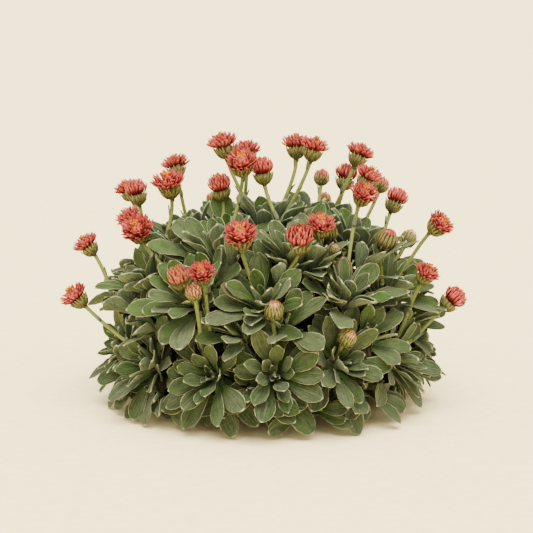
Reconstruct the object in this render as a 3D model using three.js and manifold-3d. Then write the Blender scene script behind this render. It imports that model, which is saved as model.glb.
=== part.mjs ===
// Potted pussytoes: woolly leaf rosettes packed into a dome over a low pan of soil, with coral flower heads
// held above them on thin stems. Millimetres, +Z up. The origin is the middle of the pan's base.
import * as THREE from 'three';
import { mergeVertices } from 'three/addons/utils/BufferGeometryUtils.js';
import Module from 'manifold-3d';

const wasm = await Module();
wasm.setup();

// Pan and soil
const PAN_HEIGHT = 26;
const PAN_BASE_RADIUS = 41;
const PAN_TOP_RADIUS = 47;
const PAN_WALL = 3;
const PAN_FLOOR = 4;
const PAN_RIM_OUT = 1.8;
const PAN_RIM_HEIGHT = 5;
const PAN_SIDES = 24;
const DRAIN_HOLES = 4;
const DRAIN_RADIUS = 3.5;
const DRAIN_CIRCLE = 23;
const DRAIN_SIDES = 6;
const SOIL_TOP = 21;
const GAP = 0.3;

// The dome that the rosettes' middles lie on, and its rings of rosettes from the top down
const DOME_FOOT = 31;
const DOME_HEIGHT = 57;
const DOME_RADIUS = 71;
const DOME_FULLNESS = 0.82;
const RINGS = [
  { count: 1, polar: 0, turn: 0, footShare: 0 },
  { count: 6, polar: 33, turn: 20, footShare: 0.38 },
  { count: 10, polar: 62, turn: 0, footShare: 0.46 },
  { count: 13, polar: 90, turn: 4, footShare: 0.5 },
];
const RING_SWAY = 8;
const POLAR_SWAY = 5;
const OUTWARD_TILT = 0.44;
const OUTWARD_GAIN = 0.34;

// High on the dome the rosettes are narrower and their leaves longer than at its foot
const UPPER_OPENING = 0.72;
const UPPER_GROWTH = 1.12;

// Woody stem under each rosette. It ends in a crown, whose side is a net of diamond facets: each leaf and
// flower stem grows out of a facet of its own.
const WOOD_RADIUS = 2.4;
const WOOD_STATIONS = [0, 0.3, 0.62, 1];
const WOOD_DEPTH = 10;
const CROWN_COLUMNS = 5;
const CROWN_ROWS = 3;
const CROWN_FOOT = -4;
const CROWN_STEP = 2.1;
const CROWN_RADII = [WOOD_RADIUS, 3, 3, 2.4, 1.6];

// Leaves: places along a blade, as shares of its length and of its full width. The young leaves of the top
// row are short, so they have one place fewer.
const LEAF_ATTEMPTS = 16;
const LEAF_CLEARANCE = 0.35;
const FLOOR_CLEARANCE = 0.6;
const INNER_LEAF = { length: 18, polar: 22, arch: 6 };
const OUTER_LEAF = { length: 31, polar: 80, arch: 28 };
const HANGING_GROWTH = 0.16;
const LEAF_WIDTH_SHARE = 0.41;
const LEAF_STATIONS = [
  { along: 0.38, width: 0.54, thickness: 1.3, fold: 0.5 },
  { along: 0.71, width: 1, thickness: 1.2, fold: 1.3 },
];
const YOUNG_STATIONS = [{ along: 0.66, width: 1, thickness: 1.2, fold: 1 }];
const LEAF_END = { width: 0.42, fold: 0.5 };

// Flower stems, bract cups and florets. A head's own sizes are for these widths, and scale with it.
const STEM_RADIUS = 1.2;
const STEM_SIDES = 4;
const STEM_FAN = 0.2;
const STEM_REACH = 0.3;
const STEM_STRAIGHTNESS = 0.55;
const STEM_PLACES = 15;
const STEM_STATIONS = [5, 9, 12, 15];
const STEM_START = 4.5;
const CUP_COLUMNS = 12;
const BUD_COLUMNS = 8;
const FLORET_COLUMNS = 16;
const NECK = -7;
const OPEN = { width: 16 };
const HALF = { width: 13 };
const BUD = { width: 14 };

// Every flower head: the middle of the head, how its axis leans, its width, and the rosette that it grows from.
// toward is the compass side of the lean, with 0 along +X and 90 along +Y.
const HEADS = [
  { form: OPEN, x: -105, y: -15, z: 62, tilt: 42, toward: 190, width: 15, rosette: 28 },
  { form: OPEN, x: -100, y: 0, z: 88, tilt: 36, toward: 185, width: 14, rosette: 27 },
  { form: OPEN, x: -81, y: 45, z: 113, tilt: 26, toward: 155, width: 14, rosette: 14 },
  { form: HALF, x: -74, y: 25, z: 114, tilt: 12, toward: 170, width: 12, rosette: 14 },
  { form: OPEN, x: -77, y: 5, z: 102, tilt: 36, toward: 180, width: 14, rosette: 15 },
  { form: OPEN, x: -70, y: -20, z: 99, tilt: 40, toward: 250, width: 17, rosette: 16 },
  { form: OPEN, x: -54, y: -5, z: 122.5, tilt: 18, toward: 235, width: 17, rosette: 15 },
  { form: OPEN, x: -53, y: 45, z: 127, tilt: 20, toward: 120, width: 15, rosette: 13 },
  { form: OPEN, x: -25, y: 10, z: 142.5, tilt: 14, toward: 180, width: 16, rosette: 0 },
  { form: OPEN, x: -14, y: -25, z: 136, tilt: 34, toward: 265, width: 17, rosette: 6 },
  { form: OPEN, x: -12, y: 25, z: 137, tilt: 20, toward: 95, width: 15, rosette: 4 },
  { form: HALF, x: -26, y: -10, z: 121, tilt: 16, toward: 225, width: 12, rosette: 6 },
  { form: OPEN, x: -14, y: -70, z: 104, tilt: 34, toward: 265, width: 17, rosette: 7 },
  { form: HALF, x: -3, y: -15, z: 130.5, tilt: 8, toward: 180, width: 12, rosette: 1 },
  { form: OPEN, x: 15.5, y: 10, z: 142, tilt: 10, toward: 100, width: 15, rosette: 0 },
  { form: OPEN, x: 25, y: -5, z: 142, tilt: 14, toward: 10, width: 15, rosette: 0 },
  { form: HALF, x: 44, y: 30, z: 122, tilt: 16, toward: 45, width: 12, rosette: 3 },
  { form: OPEN, x: 51.5, y: 25, z: 135.5, tilt: 26, toward: 30, width: 15, rosette: 3 },
  { form: OPEN, x: 55, y: 0, z: 125.5, tilt: 26, toward: 0, width: 15, rosette: 2 },
  { form: OPEN, x: 50.5, y: -30, z: 119.5, tilt: 34, toward: 300, width: 14, rosette: 8 },
  { form: HALF, x: 73, y: 35, z: 108, tilt: 26, toward: 25, width: 12, rosette: 10 },
  { form: OPEN, x: 92, y: -25, z: 103, tilt: 48, toward: 330, width: 15, rosette: 9 },
  { form: OPEN, x: 84, y: -35, z: 78, tilt: 32, toward: 325, width: 13, rosette: 19 },
  { form: HALF, x: 100, y: -20, z: 61, tilt: 46, toward: 350, width: 12, rosette: 19 },
  { form: OPEN, x: 27, y: -55, z: 107, tilt: 26, toward: 280, width: 15, rosette: 8 },
  { form: HALF, x: 16, y: -65, z: 101, tilt: 24, toward: 275, width: 13, rosette: 7 },
  { form: OPEN, x: -33, y: -80, z: 86, tilt: 36, toward: 260, width: 13, rosette: 29 },
  { form: HALF, x: -45, y: -66, z: 81, tilt: 30, toward: 240, width: 11, rosette: 16 },
  { form: BUD, x: -32, y: 50, z: 106, tilt: 20, toward: 110, width: 8, rosette: 4 },
  { form: BUD, x: 31, y: 50, z: 119, tilt: 18, toward: 70, width: 9, rosette: 3 },
  { form: BUD, x: 33, y: 58, z: 105, tilt: 26, toward: 70, width: 8, rosette: 11 },
  { form: BUD, x: 66, y: 55, z: 114, tilt: 30, toward: 45, width: 9, rosette: 11 },
  { form: BUD, x: 63, y: -30, z: 95, tilt: 28, toward: 320, width: 12, rosette: 9 },
  { form: BUD, x: 79.5, y: 25, z: 87, tilt: 28, toward: 20, width: 10, rosette: 10 },
  { form: BUD, x: -37, y: -84, z: 77, tilt: 26, toward: 250, width: 8, rosette: 29 },
  { form: BUD, x: 3, y: -84, z: 68, tilt: 30, toward: 275, width: 10, rosette: 17 },
  { form: BUD, x: 40, y: -80, z: 53, tilt: 46, toward: 300, width: 9.5, rosette: 18 },
  { form: BUD, x: 34, y: -52, z: 93, tilt: 20, toward: 300, width: 6, rosette: 2 },
  { form: BUD, x: 33, y: -33, z: 99, tilt: 14, toward: 300, width: 8, rosette: 2 },
];

// Materials
const clay = new THREE.MeshStandardMaterial({ color: 0x4b3a30, roughness: 0.9, metalness: 0 });
const earth = new THREE.MeshStandardMaterial({ color: 0x33261d, roughness: 1, metalness: 0 });
const foliage = new THREE.MeshStandardMaterial({ color: 0x6f7d5a, roughness: 0.85, metalness: 0 });
const coral = new THREE.MeshStandardMaterial({ color: 0xcc4b3f, roughness: 0.7, metalness: 0 });

// A number from 0 to 1 that depends on whole-number keys alone
function chance(...keys) {
  let h = 0x9e3779b9;
  for (const key of keys) {
    h = Math.imul(h ^ key, 0x85ebca6b);
    h ^= h >>> 13;
    h = Math.imul(h, 0xc2b2ae35);
    h ^= h >>> 16;
  }
  return (h >>> 0) / 4294967296;
}

function sway(amount, ...keys) {
  return amount * (chance(...keys) - 0.5);
}

function radians(degrees) {
  return THREE.MathUtils.degToRad(degrees);
}

// The unit vector that leans by tilt degrees from upright to a compass side
function leaning(tilt, toward) {
  return new THREE.Vector3(
    Math.sin(radians(tilt)) * Math.cos(radians(toward)),
    Math.sin(radians(tilt)) * Math.sin(radians(toward)),
    Math.cos(radians(tilt)),
  );
}

// A closed surface in the making: corners, and faces that run counter-clockwise seen from outside
class Skin {
  constructor() {
    this.corners = [];
    this.faces = [];
  }

  add(points) {
    const first = this.corners.length;
    this.corners.push(...points);
    return points.map((_, i) => first + i);
  }

  // Joins two rings that run counter-clockwise seen from the far one. One corner alone is a closed end.
  band(near, far) {
    let [i, j] = [0, 0];
    while (i < near.length || j < far.length) {
      const [a, b] = [near[i % near.length], far[j % far.length]];
      if ((i + 1) * far.length <= (j + 1) * near.length) {
        i += 1;
        if (near.length > 1) this.faces.push([a, near[i % near.length], b]);
      } else {
        j += 1;
        if (far.length > 1) this.faces.push([a, far[j % far.length], b]);
      }
    }
  }

  loft(rings) {
    rings.slice(1).forEach((ring, i) => this.band(rings[i], ring));
  }

  geometry() {
    const geometry = new THREE.BufferGeometry().setFromPoints(this.corners);
    geometry.setIndex(this.faces.flat());
    return geometry;
  }
}

// A ring of corners round a centre, in the plane of two directions. Its size may change with the corner.
function ringAround(centre, right, up, count, sizeAt, ahead = null) {
  return Array.from({ length: count }, (_, i) => {
    const angle = 2 * Math.PI * i / count;
    const { r, z = 0 } = sizeAt(i);
    const corner = centre.clone()
      .addScaledVector(right, r * Math.cos(angle)).addScaledVector(up, r * Math.sin(angle));
    return ahead ? corner.addScaledVector(ahead, z) : corner;
  });
}

function scaled(sizeAt, scale) {
  return (i) => ({ r: scale * sizeAt(i).r, z: scale * sizeAt(i).z });
}

function toSolid(geometry) {
  const bare = new THREE.BufferGeometry();
  bare.setAttribute('position', geometry.getAttribute('position'));
  bare.setIndex(geometry.getIndex());
  const merged = mergeVertices(bare, 1e-4);
  return new wasm.Manifold(new wasm.Mesh({
    numProp: 3,
    vertProperties: new Float32Array(merged.getAttribute('position').array),
    triVerts: new Uint32Array(merged.getIndex().array),
  }));
}

function toGeometry(solid) {
  const { vertProperties, triVerts } = solid.getMesh();
  const geometry = new THREE.BufferGeometry();
  geometry.setAttribute('position', new THREE.BufferAttribute(new Float32Array(vertProperties), 3));
  geometry.setIndex(Array.from(triVerts));
  return geometry;
}

function turned(profile, sides) {
  return new THREE.LatheGeometry(profile.map(([r, z]) => new THREE.Vector2(r, z)), sides)
    .rotateX(Math.PI / 2);
}

function panRadius(z) {
  return PAN_BASE_RADIUS + (PAN_TOP_RADIUS - PAN_BASE_RADIUS) * z / PAN_HEIGHT;
}

function makePan() {
  const rimFoot = PAN_HEIGHT - PAN_RIM_HEIGHT;
  let pan = toSolid(turned([
    [0, 0],
    [PAN_BASE_RADIUS, 0],
    [panRadius(rimFoot), rimFoot],
    [panRadius(rimFoot) + PAN_RIM_OUT, rimFoot],
    [PAN_TOP_RADIUS + PAN_RIM_OUT, PAN_HEIGHT],
    [PAN_TOP_RADIUS - PAN_WALL, PAN_HEIGHT],
    [panRadius(PAN_FLOOR) - PAN_WALL, PAN_FLOOR],
    [0, PAN_FLOOR],
  ], PAN_SIDES));
  for (let i = 0; i < DRAIN_HOLES; i++) {
    const centre = leaning(90, 45 + 360 * i / DRAIN_HOLES).multiplyScalar(DRAIN_CIRCLE);
    const drill = new THREE.CylinderGeometry(DRAIN_RADIUS, DRAIN_RADIUS, 3 * PAN_FLOOR, DRAIN_SIDES);
    pan = pan.subtract(toSolid(drill.rotateX(Math.PI / 2).translate(centre.x, centre.y, 0)));
  }
  return toGeometry(pan);
}

// The rosettes' places: middle, outward axis, side directions and the foot of the woody stem
function placeRosettes() {
  const rosettes = [];
  for (const ring of RINGS) {
    for (let i = 0; i < ring.count; i++) {
      const index = rosettes.length;
      const around = -90 + ring.turn + 360 * i / ring.count + sway(RING_SWAY, index, 1);
      const polar = ring.polar + sway(POLAR_SWAY, index, 2);
      const reach = DOME_RADIUS * Math.abs(Math.sin(radians(polar))) ** DOME_FULLNESS;
      const middle = leaning(90, around).multiplyScalar(reach);
      const lift = Math.cos(radians(polar));
      middle.z = DOME_FOOT + DOME_HEIGHT * Math.sign(lift) * Math.abs(lift) ** DOME_FULLNESS;
      const low = (polar / 90) ** 2;
      const axis = leaning(polar * (OUTWARD_TILT + OUTWARD_GAIN * low), around);
      const side = leaning(90, around + 90);
      const foot = leaning(90, around).multiplyScalar(reach * ring.footShare);
      foot.z = SOIL_TOP - WOOD_DEPTH;
      const opening = UPPER_OPENING + (1 - UPPER_OPENING) * low;
      const growth = UPPER_GROWTH + (1 - UPPER_GROWTH) * low;
      rosettes.push({ index, middle, axis, side, up: axis.clone().cross(side), foot, opening, growth });
    }
  }
  return rosettes;
}

// The woody stem climbs out of the soil, leans outward under the leaves and ends along the rosette's axis
function woodPath({ foot, middle, axis }, deeper = 0) {
  const start = foot.clone();
  start.z -= deeper;
  const climb = foot.clone().lerp(middle, 0.05);
  climb.z = foot.z + Math.max(0.62 * (middle.z - foot.z), 30);
  const bend = middle.clone().addScaledVector(axis, -12);
  bend.z = Math.max(bend.z, PAN_HEIGHT + 2 * WOOD_RADIUS + 4);
  return new THREE.CubicBezierCurve3(start, climb, bend, middle.clone().addScaledVector(axis, CROWN_FOOT));
}

// Rings of the woody stem. Its path lies in the upright plane through the pan's middle.
function woodRings(rosette, radius, deeper = 0) {
  const path = woodPath(rosette, deeper);
  return WOOD_STATIONS.map((share) => {
    const ahead = path.getTangent(share);
    const up = ahead.clone().cross(rosette.side);
    return ringAround(path.getPoint(share), rosette.side, up, CROWN_COLUMNS, () => ({ r: radius }));
  });
}

function makeSoil(rosettes) {
  const bottom = PAN_FLOOR + GAP;
  let soil = toSolid(turned([
    [0, bottom],
    [panRadius(PAN_FLOOR) - PAN_WALL - GAP, bottom],
    [panRadius(SOIL_TOP) - PAN_WALL - GAP, SOIL_TOP],
    [0, SOIL_TOP],
  ], PAN_SIDES));
  for (const rosette of rosettes) {
    const hole = new Skin();
    const rings = woodRings(rosette, WOOD_RADIUS + GAP * 1.25, GAP).map((ring) => hole.add(ring));
    hole.loft([hole.add([woodPath(rosette, GAP).getPoint(0)]), ...rings, hole.add([rosette.middle])]);
    soil = soil.subtract(toSolid(hole.geometry()));
  }
  return toGeometry(soil);
}

// A corner of the crown's net. Each ring up is turned by half a column, so the facets are diamonds.
function crownCorner({ middle, axis, side, up }, ring, column) {
  const angle = 2 * Math.PI * (column + ring / 2) / CROWN_COLUMNS;
  return middle.clone().addScaledVector(axis, CROWN_FOOT + CROWN_STEP * ring)
    .addScaledVector(side, CROWN_RADII[ring] * Math.cos(angle))
    .addScaledVector(up, CROWN_RADII[ring] * Math.sin(angle));
}

// A facet as four corners: right edge, top, left edge and bottom, seen from outside
function facetCorners(rosette, row, column) {
  const { crown } = rosette;
  const next = (column + 1) % CROWN_COLUMNS;
  return [crown[row][next], crown[row + 1][column], crown[row][column], crown[row - 1][next]];
}

function facetCentre(rosette, row, column) {
  const corners = facetCorners(rosette, row, column).map((corner) => rosette.skin.corners[corner]);
  return corners.reduce((sum, corner) => sum.add(corner), new THREE.Vector3()).divideScalar(corners.length);
}

// Woody stem and crown. The facets stay open until a stem or leaf grows there, or they are closed plainly.
function makeCrown(rosette) {
  const skin = new Skin();
  const rings = woodRings(rosette, WOOD_RADIUS).slice(0, -1).map((ring) => skin.add(ring));
  const crown = CROWN_RADII.map((_, ring) => (
    skin.add(Array.from({ length: CROWN_COLUMNS }, (_, column) => crownCorner(rosette, ring, column)))));
  skin.loft([skin.add([rosette.foot]), ...rings, crown[0]]);
  for (let column = 0; column < CROWN_COLUMNS; column++) {
    const next = (column + 1) % CROWN_COLUMNS;
    skin.faces.push([crown[0][column], crown[0][next], crown[1][column]]);
    skin.faces.push([crown[CROWN_ROWS][next], crown[CROWN_ROWS + 1][next], crown[CROWN_ROWS + 1][column]]);
  }
  const top = crown[CROWN_ROWS + 1];
  top.slice(2).forEach((corner, i) => skin.faces.push([top[0], top[i + 1], corner]));
  rosette.skin = skin;
  rosette.crown = crown;
  rosette.taken = new Set();
}

function closeCrown(rosette) {
  for (let row = 1; row <= CROWN_ROWS; row++) {
    for (let column = 0; column < CROWN_COLUMNS; column++) {
      if (rosette.taken.has(`${row}_${column}`)) continue;
      const [right, top, left, bottom] = facetCorners(rosette, row, column);
      rosette.skin.faces.push([right, top, left], [right, left, bottom]);
    }
  }
}

// Something that a leaf must stay clear of: its faces, edges and box. Leaves of one crown share corners.
class Blocker {
  constructor(corners, faces, owner = null) {
    this.owner = owner;
    this.faces = faces.map((face) => face.map((corner) => corners[corner]));
    this.box = new THREE.Box3().setFromPoints(this.faces.flat());
    this.edges = [];
    const seen = new Set();
    for (const face of faces) {
      face.forEach((corner, i) => {
        const other = face[(i + 1) % 3];
        const name = `${Math.min(corner, other)}_${Math.max(corner, other)}`;
        if (seen.has(name)) return;
        seen.add(name);
        const [from, to] = [corners[corner], corners[other]];
        const along = to.clone().sub(from);
        const box = new THREE.Box3().setFromPoints([from, to]);
        this.edges.push({ from, to, box, length: along.length(), ray: new THREE.Ray(from, along.normalize()) });
      });
    }
  }

  static of(geometry) {
    const bare = new THREE.BufferGeometry();
    bare.setAttribute('position', geometry.getAttribute('position'));
    bare.setIndex(geometry.getIndex());
    const merged = mergeVertices(bare, 1e-4);
    const place = merged.getAttribute('position');
    const corners = Array.from({ length: place.count }, (_, i) => (
      new THREE.Vector3().fromBufferAttribute(place, i)));
    const index = Array.from(merged.getIndex().array);
    return new Blocker(corners, index.filter((_, i) => i % 3 === 0).map((_, i) => index.slice(3 * i, 3 * i + 3)));
  }

  // Whether an edge of this one goes through a face of the other that it shares no corner with
  pierces(other) {
    const hit = new THREE.Vector3();
    const near = this.edges.filter(({ box }) => box.intersectsBox(other.box));
    return other.faces.some((face) => near.some(({ from, to, ray, length }) => (
      !face.includes(from) && !face.includes(to)
      && ray.intersectTriangle(...face, false, hit) !== null && hit.distanceTo(from) <= length)));
  }

  crosses(other) {
    return this.box.intersectsBox(other.box) && (this.pierces(other) || other.pierces(this));
  }
}

// One leaf of a rosette. Each attempt swings it a little further from its facet's own direction.
function leafShape(rosette, row, column, attempt) {
  const key = [rosette.index, row, column, attempt];
  const share = (CROWN_ROWS - row) / (CROWN_ROWS - 1);
  const swing = 0.4 + 0.1 * attempt;
  const around = 2 * Math.PI * (column + (row + 1) / 2) / CROWN_COLUMNS + radians(sway(44 * swing, ...key, 3));
  const between = (name) => INNER_LEAF[name] + (OUTER_LEAF[name] - INNER_LEAF[name]) * share;
  const polar = rosette.opening * between('polar') + sway(30 * swing, ...key, 4);
  const arch = radians(between('arch') + sway(10, ...key, 5));
  const out = rosette.side.clone().multiplyScalar(Math.cos(around))
    .addScaledVector(rosette.up, Math.sin(around));
  const hanging = 1 + HANGING_GROWTH * Math.max(0, -out.z);
  const spared = (1 + sway(0.24, ...key, 6)) * (1 - 0.02 * attempt);
  const length = rosette.growth * between('length') * hanging * spared;
  return {
    root: facetCentre(rosette, row, column),
    axis: rosette.axis,
    out,
    across: rosette.axis.clone().cross(out),
    start: radians(polar) - arch / 2,
    arch,
    length,
    width: LEAF_WIDTH_SHARE * length,
    roll: radians(sway(30, ...key, 7)),
    stations: row === CROWN_ROWS ? YOUNG_STATIONS : LEAF_STATIONS,
  };
}

// The rib's place and directions at a share of the leaf's length: the rib is an arc of a circle
function ribAt(leaf, along) {
  const angle = leaf.start + leaf.arch * along;
  const scale = leaf.length / leaf.arch;
  const point = leaf.root.clone()
    .addScaledVector(leaf.out, scale * (Math.cos(leaf.start) - Math.cos(angle)))
    .addScaledVector(leaf.axis, scale * (Math.sin(angle) - Math.sin(leaf.start)));
  const ahead = leaf.out.clone().multiplyScalar(Math.sin(angle)).addScaledVector(leaf.axis, Math.cos(angle));
  const across = leaf.across.clone().applyAxisAngle(ahead, leaf.roll * along);
  return { point, ahead, across, face: ahead.clone().cross(across) };
}

// Rings past the facet: right edge, top, left edge and underside at each station, then the two end corners
function leafRings(leaf, extra = 0) {
  const rings = leaf.stations.map(({ along, width, thickness, fold }) => {
    const { point, across, face } = ribAt(leaf, along);
    const half = width * leaf.width / 2 + extra;
    const at = (sideways, height) => point.clone().addScaledVector(across, sideways).addScaledVector(face, height);
    return [at(half, fold), at(0, thickness / 2 + extra), at(-half, fold), at(0, -thickness / 2 - extra)];
  });
  const { point, ahead, across, face } = ribAt(leaf, 1);
  const half = LEAF_END.width * leaf.width / 2 + extra;
  point.addScaledVector(ahead, extra).addScaledVector(face, LEAF_END.fold);
  return [...rings, [point.clone().addScaledVector(across, half), point.clone().addScaledVector(across, -half)]];
}

// Faces of a leaf from the rings of its corners. Both sides of each stretch are split alike, from the edge
// corner to the rib corner ahead of it.
function leafFaces(rings) {
  const stretch = (a, b) => [
    [a[0], a[1], b[1]], [a[0], b[1], b[0]], [a[1], a[2], b[1]], [a[2], b[2], b[1]],
    [a[2], a[3], b[3]], [a[2], b[3], b[2]], [a[3], a[0], b[3]], [a[0], b[0], b[3]],
  ];
  const tip = (a, [right, left]) => [
    [a[0], a[1], right], [a[1], left, right], [a[1], a[2], left],
    [a[2], a[3], left], [a[3], right, left], [a[3], a[0], right],
  ];
  return rings.slice(1).flatMap((ring, i) => (ring.length === 2 ? tip : stretch)(rings[i], ring));
}

// Sets every leaf, row by row outward in all rosettes at once, clear of whatever stands there already
function growLeaves(rosettes, blockers) {
  for (let row = CROWN_ROWS; row >= 1; row--) {
    for (let column = 0; column < CROWN_COLUMNS; column++) {
      for (const rosette of rosettes) {
        if (!rosette.taken.has(`${row}_${column}`)) growLeaf(rosette, row, column, blockers);
      }
    }
  }
}

function growLeaf(rosette, row, column, blockers) {
  const { skin, index } = rosette;
  const facet = facetCorners(rosette, row, column);
  const roots = facet.map((corner) => skin.corners[corner]);
  const blockerOf = (rings) => {
    const loose = new Skin();
    const faces = leafFaces([roots, ...rings].map((ring) => loose.add(ring)));
    return new Blocker(loose.corners, faces, index);
  };
  for (let attempt = 0; attempt < LEAF_ATTEMPTS; attempt++) {
    const shape = leafShape(rosette, row, column, attempt);
    const wide = leafRings(shape, LEAF_CLEARANCE);
    if (wide.flat().some((corner) => corner.z < FLOOR_CLEARANCE)) continue;
    const trial = blockerOf(wide);
    if (blockers.some((other) => trial.crosses(other))) continue;
    const rings = leafRings(shape);
    blockers.push(blockerOf(rings));
    skin.faces.push(...leafFaces([facet, ...rings.map((ring) => skin.add(ring))]));
    rosette.taken.add(`${row}_${column}`);
    return;
  }
}

// A flower stem leaves its facet between the rosette's axis and the way to its head, fanned out a little, and
// comes up under its head
function stemPath(head, rosette, start) {
  const neck = head.middle.clone().addScaledVector(head.axis, NECK * head.scale);
  const reach = STEM_REACH * neck.distanceTo(start);
  const way = neck.clone().sub(start).normalize();
  const ahead = rosette.axis.clone().lerp(way, STEM_STRAIGHTNESS).normalize();
  const fan = start.clone().sub(rosette.middle).projectOnPlane(rosette.axis).normalize();
  return new THREE.CubicBezierCurve3(
    start,
    start.clone().addScaledVector(ahead, reach).addScaledVector(fan, STEM_FAN * reach),
    neck.clone().addScaledVector(head.axis, -reach),
    neck,
  );
}

// The free facets of the top row, with the one that faces a flower head best first
function facetsToward(rosette, head) {
  const wanted = head.middle.clone().sub(rosette.middle);
  const facing = (column) => facetCentre(rosette, CROWN_ROWS, column).sub(rosette.middle).dot(wanted);
  return Array.from({ length: CROWN_COLUMNS }, (_, column) => column)
    .filter((column) => !rosette.taken.has(`${CROWN_ROWS}_${column}`))
    .sort((one, other) => facing(other) - facing(one));
}

// Cup of bracts under an open head: belly, a rim of pointed bracts, and a hollow seat for the florets
const CUP_RINGS = [
  () => ({ r: 4.4, z: 1.2 }),
  (i) => (i % 2 ? { r: 5.3, z: 3.9 } : { r: 6.1, z: 5.8 }),
];
const CUP_SEAT = 2.6;

// A closed bud: bracts drawn in to a small pleated mouth
const BUD_RINGS = [
  () => ({ r: 6.6, z: 4 }),
  (i) => (i % 2 ? { r: 6, z: 8.6 } : { r: 6.8, z: 9.4 }),
  (i) => (i % 2 ? { r: 2.2, z: 12.4 } : { r: 3, z: 13.6 }),
];
const BUD_MOUTH = 11.8;

// The rings of a flower stem and of its cup or bud, from the first one above the facet to the closing point
function stemRings(head, rosette, column) {
  const path = stemPath(head, rosette, facetCentre(rosette, CROWN_ROWS, column));
  const { normals, binormals } = path.computeFrenetFrames(STEM_PLACES, false);
  const firstPlace = Math.ceil(STEM_PLACES * STEM_START / path.getLength());
  const stem = [firstPlace, ...STEM_STATIONS].map((place) => ringAround(path.getPointAt(place / STEM_PLACES),
    normals[place], binormals[place], STEM_SIDES, () => ({ r: STEM_RADIUS })));
  const [columns, sizes, end] = head.form === BUD
    ? [BUD_COLUMNS, BUD_RINGS, BUD_MOUTH] : [CUP_COLUMNS, CUP_RINGS, CUP_SEAT];
  const neck = path.getPointAt(1);
  const top = sizes.map((sizeAt) => ringAround(neck, normals[STEM_PLACES], binormals[STEM_PLACES], columns,
    scaled(sizeAt, head.scale), head.axis));
  return [...stem, ...top, [neck.clone().addScaledVector(head.axis, end * head.scale)]];
}

// Joins a stem to its facet, with its first ring numbered from the corner that twists the join least
function stemOn(skin, facet, rings) {
  const twist = rings[0].map((_, shift) => facet.reduce((sum, corner, i) => (
    sum + skin.corners[corner].distanceTo(rings[0][(i + shift) % STEM_SIDES])), 0));
  const shift = twist.indexOf(Math.min(...twist));
  const [first, ...others] = rings.map((ring) => skin.add(ring));
  skin.band(facet, first.map((_, i) => first[(i + shift) % STEM_SIDES]));
  skin.loft([first, ...others]);
}

// Grows a flower stem out of the first facet from which it stays clear of what stands there already
function growStem(head, rosette, blockers) {
  const { skin, index } = rosette;
  const trials = facetsToward(rosette, head).map((column) => {
    const facet = facetCorners(rosette, CROWN_ROWS, column);
    const rings = stemRings(head, rosette, column);
    const loose = new Skin();
    stemOn(loose, loose.add(facet.map((corner) => skin.corners[corner])), rings);
    return { column, facet, rings, blocker: new Blocker(loose.corners, loose.faces, index) };
  });
  const clear = trials.filter(({ blocker }) => !blockers.some((other) => blocker.crosses(other)));
  const { column, facet, rings, blocker } = clear[0] ?? trials[0];
  stemOn(skin, facet, rings);
  rosette.taken.add(`${CROWN_ROWS}_${column}`);
  blockers.push(blocker);
}

// Two tiers of pointed florets round a shallow middle, ragged at their tips
function makeFlorets(head, number) {
  const [outer, inner] = head.form === OPEN
    ? [{ r: 8.2, z: 2.8 }, { r: 5.3, z: 6.6 }]
    : [{ r: 6.4, z: 4.2 }, { r: 3.8, z: 7.2 }];
  const ragged = ({ r, z }, i) => ({
    r: r * (1 + sway(0.16, number, i, 8)),
    z: z + sway(1.2, number, i, 9),
  });
  const sizes = [
    () => ({ r: 5, z: -0.8 }),
    (i) => (i % 2 ? { r: 0.74 * outer.r, z: outer.z - 0.8 } : ragged(outer, i)),
    () => ({ r: 0.58 * outer.r, z: outer.z + 0.9 }),
    (i) => (i % 2 ? ragged(inner, i) : { r: 0.7 * inner.r, z: inner.z - 1.9 }),
  ];
  const skin = new Skin();
  const place = (z) => head.middle.clone().addScaledVector(head.axis, z * head.scale);
  const right = new THREE.Vector3(0, 1, 0).cross(head.axis).normalize();
  const up = head.axis.clone().cross(right);
  const rings = sizes.map((sizeAt) => (
    ringAround(head.middle, right, up, FLORET_COLUMNS, scaled(sizeAt, head.scale), head.axis)));
  skin.loft([[place(-3.8)], ...rings, [place(inner.z - 2.6)]].map((ring) => skin.add(ring)));
  return skin.geometry();
}

function build() {
  const plant = new THREE.Group();
  const add = (name, geometry, material) => {
    const mesh = new THREE.Mesh(geometry, material);
    mesh.name = name;
    plant.add(mesh);
  };
  const numbered = (name, i) => `${name}_${String(i + 1).padStart(2, '0')}`;

  const rosettes = placeRosettes();
  const pan = makePan();
  const soil = makeSoil(rosettes);
  const blockers = [Blocker.of(pan), Blocker.of(soil)];
  add('pot', pan, clay);
  add('soil', soil, earth);

  for (const rosette of rosettes) {
    makeCrown(rosette);
    blockers.push(new Blocker(rosette.skin.corners, rosette.skin.faces, rosette.index));
  }
  let blooms = 0;
  for (const row of HEADS) {
    const head = {
      ...row,
      middle: new THREE.Vector3(row.x, row.y, row.z),
      axis: leaning(row.tilt, row.toward),
      scale: row.width / row.form.width,
    };
    growStem(head, rosettes[head.rosette], blockers);
    if (head.form === BUD) continue;
    const florets = makeFlorets(head, blooms);
    blockers.push(Blocker.of(florets));
    add(numbered('florets', blooms), florets, coral);
    blooms += 1;
  }

  growLeaves(rosettes, blockers);
  for (const rosette of rosettes) {
    closeCrown(rosette);
    add(numbered('rosette', rosette.index), rosette.skin.geometry(), foliage);
  }
  return plant;
}

export default build();
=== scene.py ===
"""Potted pussytoes: woolly rosettes of spoon leaves domed over a low pan, with coral heads on thin stems.

Plant sizes are in millimetres, as they would be measured, and become metres where a mesh is made. The origin
is the middle of the pan's base, with +Z up. Leaves, stems and heads follow the solids of the frame.
"""
import logging
import math
from collections.abc import Sequence
from dataclasses import dataclass, field, replace
from enum import Enum
from typing import Any, ClassVar

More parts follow.
